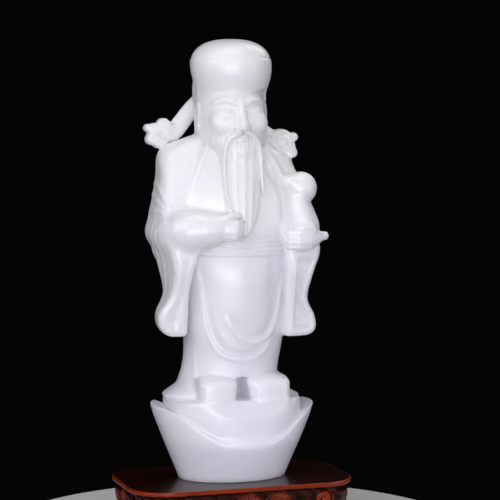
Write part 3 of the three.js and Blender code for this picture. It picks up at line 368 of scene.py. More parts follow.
def sleeve(x, y, z, side):
    """A hanging sleeve with its mouth or its slit, a thin rim, and faint folds on the outside."""
    k = 0 if side < 0 else 1
    out, inn, front, back = sleeve_out[k](z), sleeve_in[k](z), sleeve_front(z), sleeve_back(z)
    if side < 0:
        taper = 0.2 * ramp(z, 122, 150) * (1 - ramp(z, 196, 214)) - 0.12 * (1 - ramp(z, 112, 128))
        out = out - taper * np.clip(-y - 2, 0, 30)
    u, v = x * side - (out + inn) / 2, y - (front + back) / 2
    bag = slab(u, v, (out - inn) / 2, (back - front) / 2, 4.5 + 5 * ramp(z, 155, 200))
    low, bow = SLEEVE_LOW[side]
    drape = low + bow * (np.abs(x) - 40) ** 2
    faces = ramp(-y, 4, 9)
    if side > 0:
        across = x - (MOUTH["inner"] + out - MOUTH["border"]) / 2
        wide = (out - MOUTH["border"] - MOUTH["inner"]) / 2
        mouth = 5 * (1 - ramp(np.abs(across) - wide, -1.8, 0.6)) * ramp(z, 101.6, 105)
        mouth = mouth * (1 - ramp(z, 148, 154)) * faces
        rim = -0.5 * swell(x - 37.4, 1.6) * ramp(z, 102, 106) * (1 - ramp(z, 140, 150)) * faces
    else:
        mouth = swell(u + 0.6 + 0.012 * (z - 128), 4.5) * ramp(z, 104, 112) * (1 - ramp(z, 146, 158)) * faces
        rim = -0.5 * swell(x + 44.6 + 0.03 * (z - 128), 1.5)
        rim = rim * ramp(z, 101, 106) * (1 - ramp(z, 128, 150)) * faces
    side_folds = 0.25 * np.cos((y + 0.12 * (z - 110)) * 0.8) * ramp(z, 116, 130) * (1 - ramp(z, 170, 184))
    side_folds = side_folds * ramp(x * side - (out + inn) / 2, 0, 4) * (1 - ramp(-y, 12, 17))
    return trim(trim(bag, drape - z, 3.6), z - 226, 9) + mouth + rim + side_folds


# Folds on the upper left arm and the curl at its elbow, drawn as seen 18 degrees from the left and from a
# little above.
ARM_VIEW = {"cosine": 0.951, "sine": 0.309, "rise": 0.0956}
arm_folds = [drawn([(-52.5, 204), (-48.5, 196.5), (-44, 189), (-38.5, 182)]),
             drawn([(-54.5, 196.5), (-50.5, 190), (-46, 184.5), (-40.5, 179)]),
             drawn([(-54.5, 180), (-50, 182.5), (-45.5, 180), (-44.5, 174.5), (-48.5, 171.5),
                    (-51.5, 174.5)])]


def arm_relief(x, y, z):
    """Height of the folds on the left arm."""
    def shape(x, y, z):
        c, s = ARM_VIEW["cosine"], ARM_VIEW["sine"]
        across, up = c * x - s * y, z + ARM_VIEW["rise"] * (s * x + c * y)
        h = np.zeros(x.shape, F)
        for fold, high, wide in zip(arm_folds, (0.7, 0.6, 0.7), (2.2, 2, 1.6)):
            d, t = fold(across, up)
            h = h + high * swell(d, wide) * ramp(t, 0, 0.15) * (1 - ramp(t, 0.85, 1))
        return h * ramp(-x, 34, 38)
    return within(x, y, z, (-62, -26, 160), (-32, 18, 212), shape, 0.0)


fore_arm = [tube([(-49.2, 8, 169, 9), (-45.4, -8, 168, 12.2), (-38, -19, 171, 14.6),
                  (-28, -25.5, 172.6, 12.6), (-22, -28, 173, 10.8)]),
            tube([(48, 9, 171, 8.5), (49, -8, 168, 10.2), (46.2, -20, 166, 9.4), (41.5, -27, 165, 8.4)])]
right_drape = tube([(38.5, -5, 206, 7), (40, -13, 194, 8.2), (42, -18, 184, 10), (44.6, -20, 174, 11.2)])


def cuff(x, y, z):
    """A thin rolled edge round the end of the left forearm's sleeve."""
    def shape(x, y, z):
        t = (x + 23.5) * 0.87 - (y + 27.4) * 0.49
        r = np.sqrt(np.maximum((x + 23.5) ** 2 + (y + 27.4) ** 2 + (z - 172.8) ** 2 - t * t, 0))
        return np.hypot(t, r - 10.6) - 1.5
    return within(x, y, z, (-44, -46, 154), (-6, -8, 192), shape)


# Hands, belt and sceptre.
FINGER = {"apart": 3.5, "thick": 2.1}


def fist(palm, radii, fingers, fan):
    """A closed hand: four fingers, one over the other, from the knuckle over a bent joint to the tip."""
    low, high = [c - v - 10 for c, v in zip(palm, radii)], [c + v + 10 for c, v in zip(palm, radii)]

    def shape(x, y, z):
        d = ellipsoid(x, y, z, palm, radii)
        for i in range(4):
            lift = (1.5 - i) * FINGER["apart"]
            outer = i in (0, 3)
            line = [(p[0] + fan * lift, p[1] + (0.5 if outer else 0), p[2] + lift) for p in fingers]
            taper = (0.92, 0.88, 0.76) if outer else (1, 0.95, 0.82)
            a, b, c = [(*p, FINGER["thick"] * t) for p, t in zip(line, taper)]
            d = blend(d, np.minimum(capsule(x, y, z, a, b), capsule(x, y, z, b, c)), 1.9)
        return d
    return lambda x, y, z: within(x, y, z, low, high, shape)


left_hand = fist((-13.5, -31.6, 173), (9, 6, 7.8),
                 ((-13.5, -35.8, 173), (-7.6, -37, 172.6), (-3.2, -34.2, 172)), 0.12)
left_thumb = tube([(-19, -33, 178.5, 3.2), (-13.5, -35.4, 181.6, 2.6), (-8, -35.6, 182.4, 2.1),
                   (-4.6, -34.6, 181.6, 1.8)])
right_hand = fist((43, -29.5, 165), (11.5, 7, 7.4),
                  ((45, -34.6, 165), (37, -36.4, 165), (30.5, -33.8, 165)), 0.05)
right_thumb = tube([(47, -33, 171, 3), (42, -35, 173, 2.5), (37, -34.6, 173.4, 2.1)])
sceptre_stem = tube([(41, -20, 197, 5), (41, -23.5, 188, 5.6), (42.6, -26.5, 178, 5.6), (47, -29.6, 170, 4.2),
                     (52.4, -29.5, 166.8, 3.3), (57.4, -28.4, 166.6, 3)])


def sceptre_head(x, y, z):
    """The round head of the sceptre, with a small lobe and a curved groove beside it."""
    def shape(x, y, z):
        cap = ellipsoid(x, y, z, (44, -18, 198.6), (11, 10.4, 11.2))
        lobe = ellipsoid(x, y, z, (35, -20, 203.2), (4.8, 5.6, 4.4))
        ring = 0.4 * swell(np.hypot(x - 38, z - 200.4) - 4.8, 1.6)
        return blend(cap, lobe, 4) + ring * ramp(39.5 - x, 0, 2) * ramp(203 - z, 0, 2)
    return within(x, y, z, (18, -38, 180), (66, 0, 220), shape)


def belt(x, y, z):
    """A flat sash with fine level ribs, a little lower on the right."""
    def shape(x, y, z):
        middle = 161.5 - 0.02 * x
        ring = column(x, y, skirt_half(x, z) + 0.6, skirt_front(z) + 1.2, skirt_back(z) + 1)
        ribs = 0.3 * np.cos((z - middle) * np.pi / 1.6) * ramp(-y, 4, 10)
        return trim(ring, np.abs(z - middle) - 7.4, 2) - ribs
    return within(x, y, z, (-60, -60, 145), (60, 60, 177), shape)


# Head with ears and hair. The face is plain and calm.
def head(x, y, z):
    """Skull, neck, ears and combed hair, without the features of the face."""
    u = np.abs(x)
    skull = ellipsoid(x, y, z, (0, HEAD["centre_y"], HEAD["centre_z"]), (HEAD["half"], 24.5, 30))
    mask = ellipsoid(x, y, z, (0, -3.5, 244), (21.4, 22.6, 26))
    nape = capsule(x, y, z, (0, 8, 240, 19), (0, 9, 220, 16))
    ear = ellipsoid(u, y, z, (23, -0.5, 249), (2.4, 4.4, 8.6))
    lobe = ellipsoid(u, y, z, (23.2, -1.5, 240.5), (2, 2.6, 3.4))
    hollow = ellipsoid(u, y, z, (25.6, -1.6, 250), (1.3, 2.4, 5))
    tuck = (x < 0) * (1 - 0.6 * ramp(z, 250, 262))
    side = 3 + 2 * (x > 0) * ramp(z, 248, 258) - 0.8 * tuck
    hair = slab(u - 20.4 + 0.8 * tuck, y - 9.5 + 2 * tuck, side, 10 - 2 * tuck, 3)
    hair = trim(hair, np.abs(z - 246) - 24, 4) + 0.28 * np.cos(y * 2.1) * ramp(u, 17, 21)
    bulk = blend(blend(skull, mask, 6), nape, 6)
    return blend(blend(bulk, hair, 2), trim(blend(ear, lobe, 1.5), -hollow, 0.8), 0.9)


nose = tube([(0, -23.8, 257, 1.6), (0, -26.6, 249, 2.2), (0, -29.4, 241.2, 3.1)])
brow = tube([(3.6, -23.3, 256.9, 1.3), (7, -22.2, 258.5, 1.7), (10.4, -20.3, 258.9, 1.7),
             (13.6, -18, 258.2, 1.4), (16.4, -15.6, 256.8, 1)])
lids = [tube([(4.6, -24, 250.3, 0.5), (6.8, -23.9, 251.8, 0.65), (9.2, -23.8, 252.4, 0.7),
              (11.8, -23.5, 251.8, 0.65), (14.2, -22.2, 250.4, 0.5)], per=4),
        tube([(4.9, -24.1, 249.8, 0.4), (9.2, -24.3, 248.3, 0.55), (13.8, -22.7, 249.9, 0.45)], per=4)]


def face(x, y, z, bare):
    """The bare head with cheeks, eyes, brows and nose."""
    u = np.abs(x)
    hollow = ellipsoid(u, y, z, (9, -27.8, 252), (6.6, 4.4, 4.2))
    ball = ellipsoid(u, y, z, (9.2, -19.9, 250.4), (4.9, 4.3, 3.3))
    wings = ellipsoid(u, y, z, (3.3, -26.8, 240.2), (2.5, 3, 2.2))
    cheek = ellipsoid(u, y, z, (11.5, -18.8, 243), (8, 5.8, 7))
    d = trim(blend(bare, cheek, 6), -hollow, 3.5)
    d = blend(d, ball, 1.2)
    d = blend(d, np.minimum(lids[0](u, y, z), lids[1](u, y, z)), 0.6)
    d = blend(d, brow(u, y, z), 3)
    return blend(d, blend(nose(x, y, z), wings, 1.8), 2.6)


# Full beard: a broad part round the jaw, then long combed locks, with the moustache ends laid over them.
jaw_half = sizes((216, 9), (220, 13), (224, 17), (228, 21), (233, 23.2), (239, 23.6), (246, 22))
jaw_deep = sizes((216, 21), (222, 24), (228, 25.4), (233, 24.6), (238, 23), (242, 21.4), (248, 17))
beard_half = sizes((166, 3), (171, 6), (180, 10), (190, 12.4), (204, 13.6), (216, 13.8), (232, 15))
beard_front = sizes((166, -34), (172, -34), (182, -32.6), (195, -30.6), (208, -29.2), (220, -27.6),
                    (232, -24))
whiskers = [tube([(-1.8, -28, 237, 1.2), (-6.5, -27.6, 235.4, 1.8), (-11, -25.8, 230, 1.8),
                  (-12.6, -25.6, 220, 1.7), (-12.8, -26.8, 208, 1.6), (-12, -28.4, 196, 1.4),
                  (-9.6, -30.4, 187, 0.9)]),
            tube([(1.8, -28, 237, 1.2), (6.5, -27.6, 235.4, 1.8), (11, -25.8, 230, 1.8),
                  (12.8, -25.4, 220, 1.7), (13.2, -26.2, 210, 1.5), (14, -26.6, 201, 1.2),
                  (15.4, -26.6, 194, 0.8)])]


def beard(x, y, z):
    def shape(x, y, z):
        w = beard_half(z)
        mid = beard_front(z) + 9
        lock = x / np.maximum(w, 3)
        comb = (0.42 * np.cos(lock * np.pi * 4.5 + 0.5 * np.sin(z * 0.11))
                + 0.16 * np.cos(lock * np.pi * 11 + 0.8 * np.sin(z * 0.16))) * ramp(mid - y, 2, 6)
        hang = trim(column(x, y - mid, w, 9, 9), np.maximum(z - 230, 167 - z), 5) - comb
        side = 0.24 * np.cos(x * 2.4 + 0.016 * (z - 232) ** 2 * np.sign(x)) * ramp(-y, -2, 6)
        round_jaw = trim(column(x, y + 2, jaw_half(z), jaw_deep(z), 16), np.maximum(z - 242, 210 - z), 6)
        chin = ellipsoid(x, y, z, (0, -23, 226), (7.5, 5, 5.4))
        lower = ellipsoid(x, y, z, (0, -26, 232), (4.3, 3, 1.6))
        upper = ellipsoid(x, y, z, (0, -26.4, 234.5), (5.2, 2.6, 1.4))
        lips = blend(lower, upper, 0.5)
        whole = blend(blend(blend(round_jaw, chin, 4) - side, hang, 5), lips, 1)
        return blend(whole, np.minimum(whiskers[0](x, y, z), whiskers[1](x, y, z)), 1)
    return within(x, y, z, (-34, -46, 156), (34, 24, 254), shape)


# Round hat: a drum that widens upwards, and over the crease a full dome.
crown_half = sizes((262, 22.8), (266, 24.2), (270, 25.6), (274, 26.8), (279, 27.6), (284, 27.6), (287, 27.1),
                   (292, 25))


def hat(x, y, z):
    wide, high = HAT["dome"]
    full = HAT["fullness"]
    r = np.hypot(x - HAT["shift"] - HAT["drift"] * np.maximum(286 - z, 0), y - HAT["centre_y"])
    drum = trim(r - crown_half(z), np.maximum(265.5 - z, z - 287.5), 2.4)
    dome = (((r / wide) ** full + (np.maximum(z - 279, 0) / high) ** full) ** (1 / full) - 1) * 20
    return np.minimum(drum, trim(dome, 284 - z, 0.6)) + 0.3 * swell(z - HAT["crease"], 1)


# Hat ribbons with cloud ends. The left cloud stands out behind, with one curl cut into its face. The right
# one lies on the slope of the shoulder and has a wound scroll.
ribbon = [tube([(-5, 26.5, 263, 5), (-15, 24.5, 256.4, 6.2), (-23.4, 22, 249.4, 6), (-30, 20.3, 241.8, 6.1),
                (-36, 18.5, 236, 6.2), (-42, 18, 234.5, 5.5)], squash=(1, 1.9, 1)),
          tube([(5, 26.5, 263, 5), (16.5, 24.5, 250.5, 6.2), (25.5, 18, 238, 5.6), (34, 11, 231, 5.2)],
               squash=(1, 1.9, 1))]
CLOUDS = {-1: [((-46.6, 234), 7.8), ((-43.2, 241.2), 4.7), ((-53.9, 239.2), 2.8), ((-49.6, 238.2), 4.4),
               ((-52.1, 231.4), 3.6), ((-46.4, 229.6), 4.4), ((-41.5, 237.5), 6.3)],
          1: [((39.6, 229.7), 8), ((47.8, 232.4), 2.9), ((44.4, 222.3), 3.9), ((42.4, 225.4), 5)]}
CLOUD_SCROLL = {"centre": (39.6, 229.7), "pitch": 3.6}
curl = drawn([(-46.5, 237.2), (-45.4, 233.9), (-41.5, 232.3), (-37.5, 234.1), (-36, 237.9), (-36.6, 241.6)])


def clouds(x, y, z):
    """Both cloud ends, each a flat plate of joined round lobes with a groove in its face."""
    def shape(x, y, z):
        both = None
        for side, lobes in CLOUDS.items():
            face = np.abs(y - 17.5 if side < 0 else (y - 4 - 0.55 * (z - 222)) * 0.88)
            plate = None
            for spot, r in lobes:
                flat = trim(np.hypot(x - spot[0], z - spot[1]) - r, face - 4.4, 3)
                plate = flat if plate is None else blend(plate, flat, 1.2)
            if side < 0:
                cut, run = curl(x, z)
                depth = 3 * swell(cut, 2) * ramp(run, 0, 0.12) * (1 - ramp(run, 0.88, 1))
            else:
                (cx, cz), pitch = CLOUD_SCROLL["centre"], CLOUD_SCROLL["pitch"]
                r, turn = np.hypot(x - cx, z - cz), np.arctan2(z - cz, cx - x)
                wind = r / pitch - turn / (2 * np.pi) - 0.25
                depth = 2.4 * swell((wind - np.round(wind)) * pitch, 1.5)
                depth = depth * (1 - ramp(r, 6, 7.2)) * ramp(r, 0.6, 1.4)
            plate = plate + depth * ramp(face, 2, 3.4)
            both = plate if both is None else np.minimum(both, plate)
        return both
    return within(x, y, z, (-68, -12, 204), (66, 34, 256), shape)


def jade_field(x, y, z):
    """The whole jade carving: distance to its surface, below 0 inside."""
    body = robe(x, y, z) - cloth_relief(x, y, z)
    wide = 3 + 5 * ramp(z, 182, 205)
    for side in (-1, 1):
        body = blend(body, sleeve(x, y, z, side), wide)
    body = blend(body, belt(x, y, z), 1.2) - arm_relief(x, y, z)
    body = blend(body, blend(fore_arm[0](x, y, z), cuff(x, y, z), 1), 3.5)
    body = blend(body, blend(fore_arm[1](x, y, z), right_drape(x, y, z), 5), 1.6) + arm_groove(x, y, z)
    body = blend(body, blend(left_hand(x, y, z), left_thumb(x, y, z), 1), 1.6)
    body = blend(body, blend(right_hand(x, y, z), right_thumb(x, y, z), 1), 1.8)
    body = blend(body, sceptre_stem(x, y, z), 3)
    body = blend(body, sceptre_head(x, y, z), 1.5)

    def top(x, y, z):
        t = face(x, y, z, head(x, y, z))
        t = blend(t, hat(x, y, z), 4)
        return blend(t, beard(x, y, z), 1.4)
    body = blend(body, within(x, y, z, (-40, -50, 150), (40, 44, 320), top), 1.8)
    body = blend(body, np.minimum(ribbon[0](x, y, z), ribbon[1](x, y, z)), 1)
    body = blend(body, clouds(x, y, z), 1.6)

    def foot(x, y, z):
        return blend(ingot(x, y, z), np.minimum(shoe(x, y, z, -1), shoe(x, y, z, 1)), 0.7)
    return blend(body, within(x, y, z, (-90, -60, -20), (90, 60, 100), foot), 1)


# Wooden stand: a thin moulded edge over an apron carved with fans of pine needles and with cloud scrolls.
stand_inset = sizes((0, 3.4), (4, 2.6), (9, 3.4), (14, 4.2), (20, 3.8), (26, 2.6), (31, 1.9), (33.8, 2),
                    (34.8, 1.2), (35.6, 0.3), (36.6, 0), (37.4, 0.2), (38, 0.8), (42, 0.8))


def fan(u, w, centre, r):
    """A round tuft of needles: a low dome cut by lines from its middle, with a small bud."""
    dx, dz = u - centre[0], w - centre[1]
    far = np.hypot(dx, dz) / r
    dome = 1.5 * np.sqrt(np.maximum(1 - far * far, 0)) * (1 - ramp(far, 0.86, 1))
    needles = 0.55 * np.cos(np.arctan2(dz, dx) * 27) * ramp(far, 0.24, 0.4) * (1 - ramp(far, 0.8, 0.95))
    bud = 0.5 * swell(far, 0.2) - 0.4 * swell(far - 0.24, 0.06)
    return np.where(far < 1, dome + needles + bud, 0)


def scroll(u, w, centre, r):
    """A round cloud scroll: a low dome with a groove wound into it."""
    dx, dz = u - centre[0], w - centre[1]
    far = np.hypot(dx, dz)
    wind = far / (0.62 * r) - np.arctan2(dz, dx * np.sign(centre[0])) / (2 * np.pi)
    groove = 1.1 * swell((wind - np.round(wind)) * 0.62 * r, 1.3) * ramp(far, 0.6, 1.6)
    return np.where(far < r, 1.8 * np.sqrt(np.maximum(1 - (far / r) ** 2, 0)) - groove, 0)


FANS = {"front": [((-37, 21), 9.5), ((-19.5, 23.5), 8), ((-0.7, 25), 10.3), ((20.8, 25), 10.3),
                  ((37.5, 18.5), 8), ((9.8, 13.5), 7)],
        "side": [((-21, 22), 9.5), ((-1, 25), 9.5), ((19, 21.5), 10)]}
SCROLLS = [((-54.5, 25), 8.4), ((53, 26.5), 8), ((-56, 13.5), 5.5), ((54, 13), 5.5)]


def carving(x, y, z):
    """Height of the carving on the four faces of the apron."""
    long_face = ramp(np.abs(y), 35, 40) * (1 - ramp(np.abs(x), 62, 68))
    end_face = ramp(np.abs(x), 66, 72) * (1 - ramp(np.abs(y), 30, 36))
    h = np.zeros(x.shape, F)
    along = x * np.where(y < 0, 1, -1)
    for centre, r in FANS["front"]:
        h = np.maximum(h, fan(along, z, centre, r) * long_face)
    for centre, r in SCROLLS:
        h = np.maximum(h, scroll(along, z, centre, r) * long_face)
    for centre, r in FANS["side"]:
        h = np.maximum(h, fan(y * np.where(x < 0, -1, 1), z, centre, r) * end_face)
    twig = 0.5 * np.cos((x - y) * 0.55 + 2 * np.sin(z * 0.4)) * (h < 0.05)
    return (h + twig) * ramp(z, 6, 9) * (1 - ramp(z, 34, 35.4))


def wear_and_shading_of_sides(x, y, z):
    """How light the sides are painted: 1 on edges and raised parts, partly stain rubbed off and partly
    painted highlight, and 0 in the hollows, which is painted shade.
    """
    carved = ramp(z, 6, 9) * (1 - ramp(z, 34, 35.4))
    return (0.6 + 0.4 * ramp(z, 34, 36)) * (1 - carved) + carved * ramp(carving(x, y, z), -0.2, 1.7)


def mark_wear_shading_and_polish(piece):
    """Stores the painted wear and shading, and the polish, on the corners of the faces. The flat top is
    painted dark, partly its own stain and partly painted shade for the dark room it reflects, and is well
    polished.
    """
    mesh = piece.data
    spots, middles = np.empty(len(mesh.vertices) * 3, F), np.empty(len(mesh.polygons) * 3, F)
    used, starts = np.empty(len(mesh.loops), np.int32), np.empty(len(mesh.polygons), np.int32)
    mesh.vertices.foreach_get("co", spots)
    mesh.loops.foreach_get("vertex_index", used)
    mesh.polygons.foreach_get("loop_start", starts)
    mesh.polygons.foreach_get("center", middles)
    # Painted light and shade: the hollows get painted shade, edges and raised parts get rubbed stain and
    # painted highlight, and the flat top gets painted shade for the dark room it reflects.
    top = np.repeat(middles[2::3] > (STAND["high"] - 0.05) * MM, np.diff(np.append(starts, len(used))))
    wear_and_shading = wear_and_shading_of_sides(*(spots.reshape(-1, 3).T / MM))[used]
    shine = WEAR_SHADING_POLISH["hollow_polish"] + WEAR_SHADING_POLISH["polish_gain"] * wear_and_shading
    for label, sides in (("wear_and_shading", wear_and_shading), ("polish", shine)):
        values = np.where(top, WEAR_SHADING_POLISH["top_" + label], sides).astype(F)
        mesh.attributes.new(label, "FLOAT", "CORNER").data.foreach_set("value", values)


def stand_field(x, y, z):
    """The whole stand: a hollow block on four corner feet, with its carving."""
    inset = stand_inset(z)
    block = slab(x, y, STAND["wide"] / 2 - inset, STAND["deep"] / 2 - inset, STAND["corner"] - inset)
    shell = block > -8
    cut_in = np.zeros(x.shape, F)
    cut_in[shell] = carving(x[shell], y[shell], z[shell])
    block = block + 1.3 * ramp(z, 6, 9) * (1 - ramp(z, 33.2, 34.6)) - cut_in
    scallop = 1.2 * np.cos(x * np.pi / 14) * ramp(FEET["arch_x"] - np.abs(x), 4, 12) * ramp(np.abs(y), 34, 38)
    arch_front = np.maximum(np.abs(x) - FEET["arch_x"], z - FEET["clear"] - scallop)
    arch_side = np.maximum(np.abs(y) - FEET["arch_y"], z - FEET["clear"])
    wall = FEET["thick"]
    hollow = np.maximum(slab(x, y, STAND["wide"] / 2 - wall, STAND["deep"] / 2 - wall, 14), z - FEET["clear"])
    cut = np.minimum(np.minimum(arch_front, arch_side), hollow)
    return trim(trim(block, -cut, 1.2), np.maximum(z - STAND["high"], -z), 0.6)


# From a field to a mesh: one point in each grid cell that the surface passes.
def sample(field, low, counts, step):
    """The field on a grid, worked out coarsely, and then again wherever the surface is near."""
    few = [(n - 1) // COARSE + 1 for n in counts]

    def values(index, pitch):
        spot = [(low[k] + index[k] * pitch).astype(F) for k in range(3)]
        parts = [slice(i, i + BATCH) for i in range(0, len(spot[0]), BATCH)]
        with ThreadPoolExecutor(4) as crew:
            return np.concatenate(list(crew.map(lambda c: field(*[s[c] for s in spot]).astype(F), parts)))

    rough = values(np.indices(few).reshape(3, -1), step * COARSE).reshape(few)
    pick = [np.minimum((np.arange(n) + COARSE // 2) // COARSE, m - 1) for n, m in zip(counts, few)]
    value = rough[np.ix_(*pick)].copy()
    close = np.array(np.nonzero(np.abs(value) < step * COARSE * HALF_DIAGONAL + SLACK))
    value[tuple(close)] = values(close, step)
    return value


def cell_points(value, cells):
    """For each cell the middle of the spots where the surface crosses its edges, in steps of the grid."""
    total, hits = np.zeros((cells.shape[1], 3)), np.zeros(cells.shape[1])
    for axis in range(3):
        o1, o2 = [a for a in range(3) if a != axis]
        for i, j in ((0, 0), (0, 1), (1, 0), (1, 1)):
            a = cells.copy()
            a[o1] += i
            a[o2] += j
            b = a.copy()
            b[axis] += 1
            va, vb = value[tuple(a)], value[tuple(b)]
            cross = (va < 0) != (vb < 0)
            spot = a.T.astype(float)
            spot[:, axis] += np.where(cross, va / np.where(cross, va - vb, 1), 0)
            total += spot * cross[:, None]
            hits += cross
    return total / hits[:, None]


def cell_faces(inside, number):
    """A four-sided face round each grid edge that the surface crosses, wound to face outwards."""
    quads = []
    for axis in range(3):
        o1, o2 = (axis + 1) % 3, (axis + 2) % 3
        first, second = [slice(None)] * 3, [slice(None)] * 3
        first[axis], second[axis] = slice(0, -1), slice(1, None)
        here, there = inside[tuple(first)], inside[tuple(second)]
        e = np.array(np.nonzero(here != there))
        e = e[:, (e[o1] > 0) & (e[o2] > 0) & (e[o1] < inside.shape[o1] - 1) & (e[o2] < inside.shape[o2] - 1)]
        outward = here[tuple(e)]
        ring = []
        for d1, d2 in ((-1, -1), (0, -1), (0, 0), (-1, 0)):
            q = e.copy()
            q[o1] += d1
            q[o2] += d2
            ring.append(number[tuple(q)])
        ring = np.array(ring).T
        ring[~outward] = ring[~outward][:, ::-1]
        quads.append(ring)
    return np.concatenate(quads)


def surface(field, low, high, step):
    """Points and four-sided faces of a field's surface, in millimetres."""
    low = np.array(low, float)
    counts = [int(math.ceil((high[i] - low[i]) / step / COARSE)) * COARSE + 1 for i in range(3)]
    value = sample(field, low, counts, step)
    inside = value < 0
    pair = (slice(0, -1), slice(1, None))
    count = sum(inside[pair[i], pair[j], pair[k]].astype(np.uint8)
                for i in (0, 1) for j in (0, 1) for k in (0, 1))
    cells = np.array(np.nonzero((count > 0) & (count < 8)))
    number = np.full(count.shape, -1, np.int32)
    number[tuple(cells)] = np.arange(cells.shape[1])
    return cell_points(value, cells) * step + low, cell_faces(inside, number)


def piece_of(name, points, quads):
    """A smooth object of these points and faces, thinned where it has too many triangles."""
    mesh = bpy.data.meshes.new(name)
    mesh.vertices.add(len(points))
    mesh.vertices.foreach_set("co", (points * MM).astype(np.float32).ravel())
    mesh.loops.add(len(quads) * 4)
    mesh.loops.foreach_set("vertex_index", quads.astype(np.int32).ravel())
    mesh.polygons.add(len(quads))
    mesh.polygons.foreach_set("loop_start", np.arange(0, len(quads) * 4, 4, dtype=np.int32))
    mesh.update(calc_edges=True)
    mesh.validate()
    piece = bpy.data.objects.new(name, mesh)
    bpy.context.scene.collection.objects.link(piece)
    if len(quads) * 2 > MOST_TRIANGLES:
        thin = piece.modifiers.new("thin", "DECIMATE")
        thin.ratio = MOST_TRIANGLES / (len(quads) * 2)
        bpy.context.view_layer.update()
        fewer = bpy.data.meshes.new_from_object(piece.evaluated_get(bpy.context.evaluated_depsgraph_get()))
        piece.modifiers.clear()
        piece.data = fewer
        fewer.name = name
    piece.data.shade_smooth()
    return piece


# Materials.
def linear(hex_code):
    """An sRGB colour in hex as linear red, green, blue and alpha."""
    c = [int(hex_code[i:i + 2], 16) / 255 for i in (0, 2, 4)]
    return (*[v / 12.92 if v <= 0.04045 else ((v + 0.055) / 1.055) ** 2.4 for v in c], 1)


def per_metre(size):
    """The scale of a pattern whose parts are this many millimetres across."""
    return 1 / (size * MM)


def add_node(tree, kind, links=None, **settings):
    """A node with its settings. links joins its inputs to other nodes' outputs or gives them values."""
    node = tree.nodes.new(kind)
    for key, value in settings.items():
        setattr(node, key, value)
    for key, value in (links or {}).items():
        if isinstance(value, bpy.types.NodeSocket):
            tree.links.new(value, node.inputs[key])
        else:
            node.inputs[key].default_value = value
    return node


def blank(name):
    """A new material with an empty node tree."""
    material = bpy.data.materials.new(name)
    material.use_nodes = True
    material.node_tree.nodes.clear()
    return material, material.node_tree


# Polished white jade: light goes a few millimetres in and comes out soft, under a waxy shine. The stone is
# milk white at the head and drifts to a cool lavender white towards the ingot, in loose clouds. What the
# polishing leaves is too fine to see, so it is drawn a millimetre coarse, and it softens the highlights.
CLOUD_SIZE = 45.45
GRIT_SIZE = 1.111


def polished_white_jade():
    material, tree = blank("polished_white_jade")
    where = add_node(tree, "ShaderNodeTexCoord").outputs["Object"]
    cloud = add_node(tree, "ShaderNodeTexNoise", {
        "Vector": where, "Scale": per_metre(CLOUD_SIZE), "Detail": 4.0, "Roughness": 0.55})
    place = add_node(tree, "ShaderNodeSeparateXYZ", {"Vector": where})
    height = add_node(tree, "ShaderNodeMapRange", {
        "Value": place.outputs["Z"], "From Min": 0.04, "From Max": 0.3, "To Min": -0.25, "To Max": 0.35})
    drift = add_node(tree, "ShaderNodeMath", {
        0: height.outputs["Result"], 1: cloud.outputs["Fac"]}, operation="ADD")
    tone = add_node(tree, "ShaderNodeValToRGB", {"Fac": drift.outputs["Value"]})
    tone.color_ramp.elements[0].position, tone.color_ramp.elements[0].color = 0.2, linear("ebecf8")
    tone.color_ramp.elements[1].position, tone.color_ramp.elements[1].color = 0.8, linear("f6f7f5")
    fine = add_node(tree, "ShaderNodeTexNoise", {
        "Vector": where, "Scale": per_metre(GRIT_SIZE), "Detail": 2.0})
    shine = add_node(tree, "ShaderNodeMapRange", {
        "Value": cloud.outputs["Fac"], "To Min": 0.26, "To Max": 0.36})
    bump = add_node(tree, "ShaderNodeBump", {
        "Height": fine.outputs["Fac"], "Strength": 0.05, "Distance": 0.3 * MM})
    stone = add_node(tree, "ShaderNodeBsdfPrincipled", {
        "Base Color": tone.outputs["Color"], "Roughness": shine.outputs["Result"], "IOR": 1.6,
        "Subsurface Weight": 0.95, "Subsurface Radius": (1.0, 0.98, 1.0), "Subsurface Scale": 9 * MM,
        "Normal": bump.outputs["Normal"]})
    add_node(tree, "ShaderNodeOutputMaterial", {"Surface": stone.outputs["BSDF"]})
    return material


# Rosewood under dark stain and clear lacquer. The colour is nearly black in the hollows as painted shade, and
# a warm red-brown on edges and raised parts, partly where the stain is rubbed off and partly as painted
# highlight, with long darker grain and sharp wet highlights, strongest on the flat top.
GRAIN_LONG = 18.52
GRAIN_WIDE = 2.564


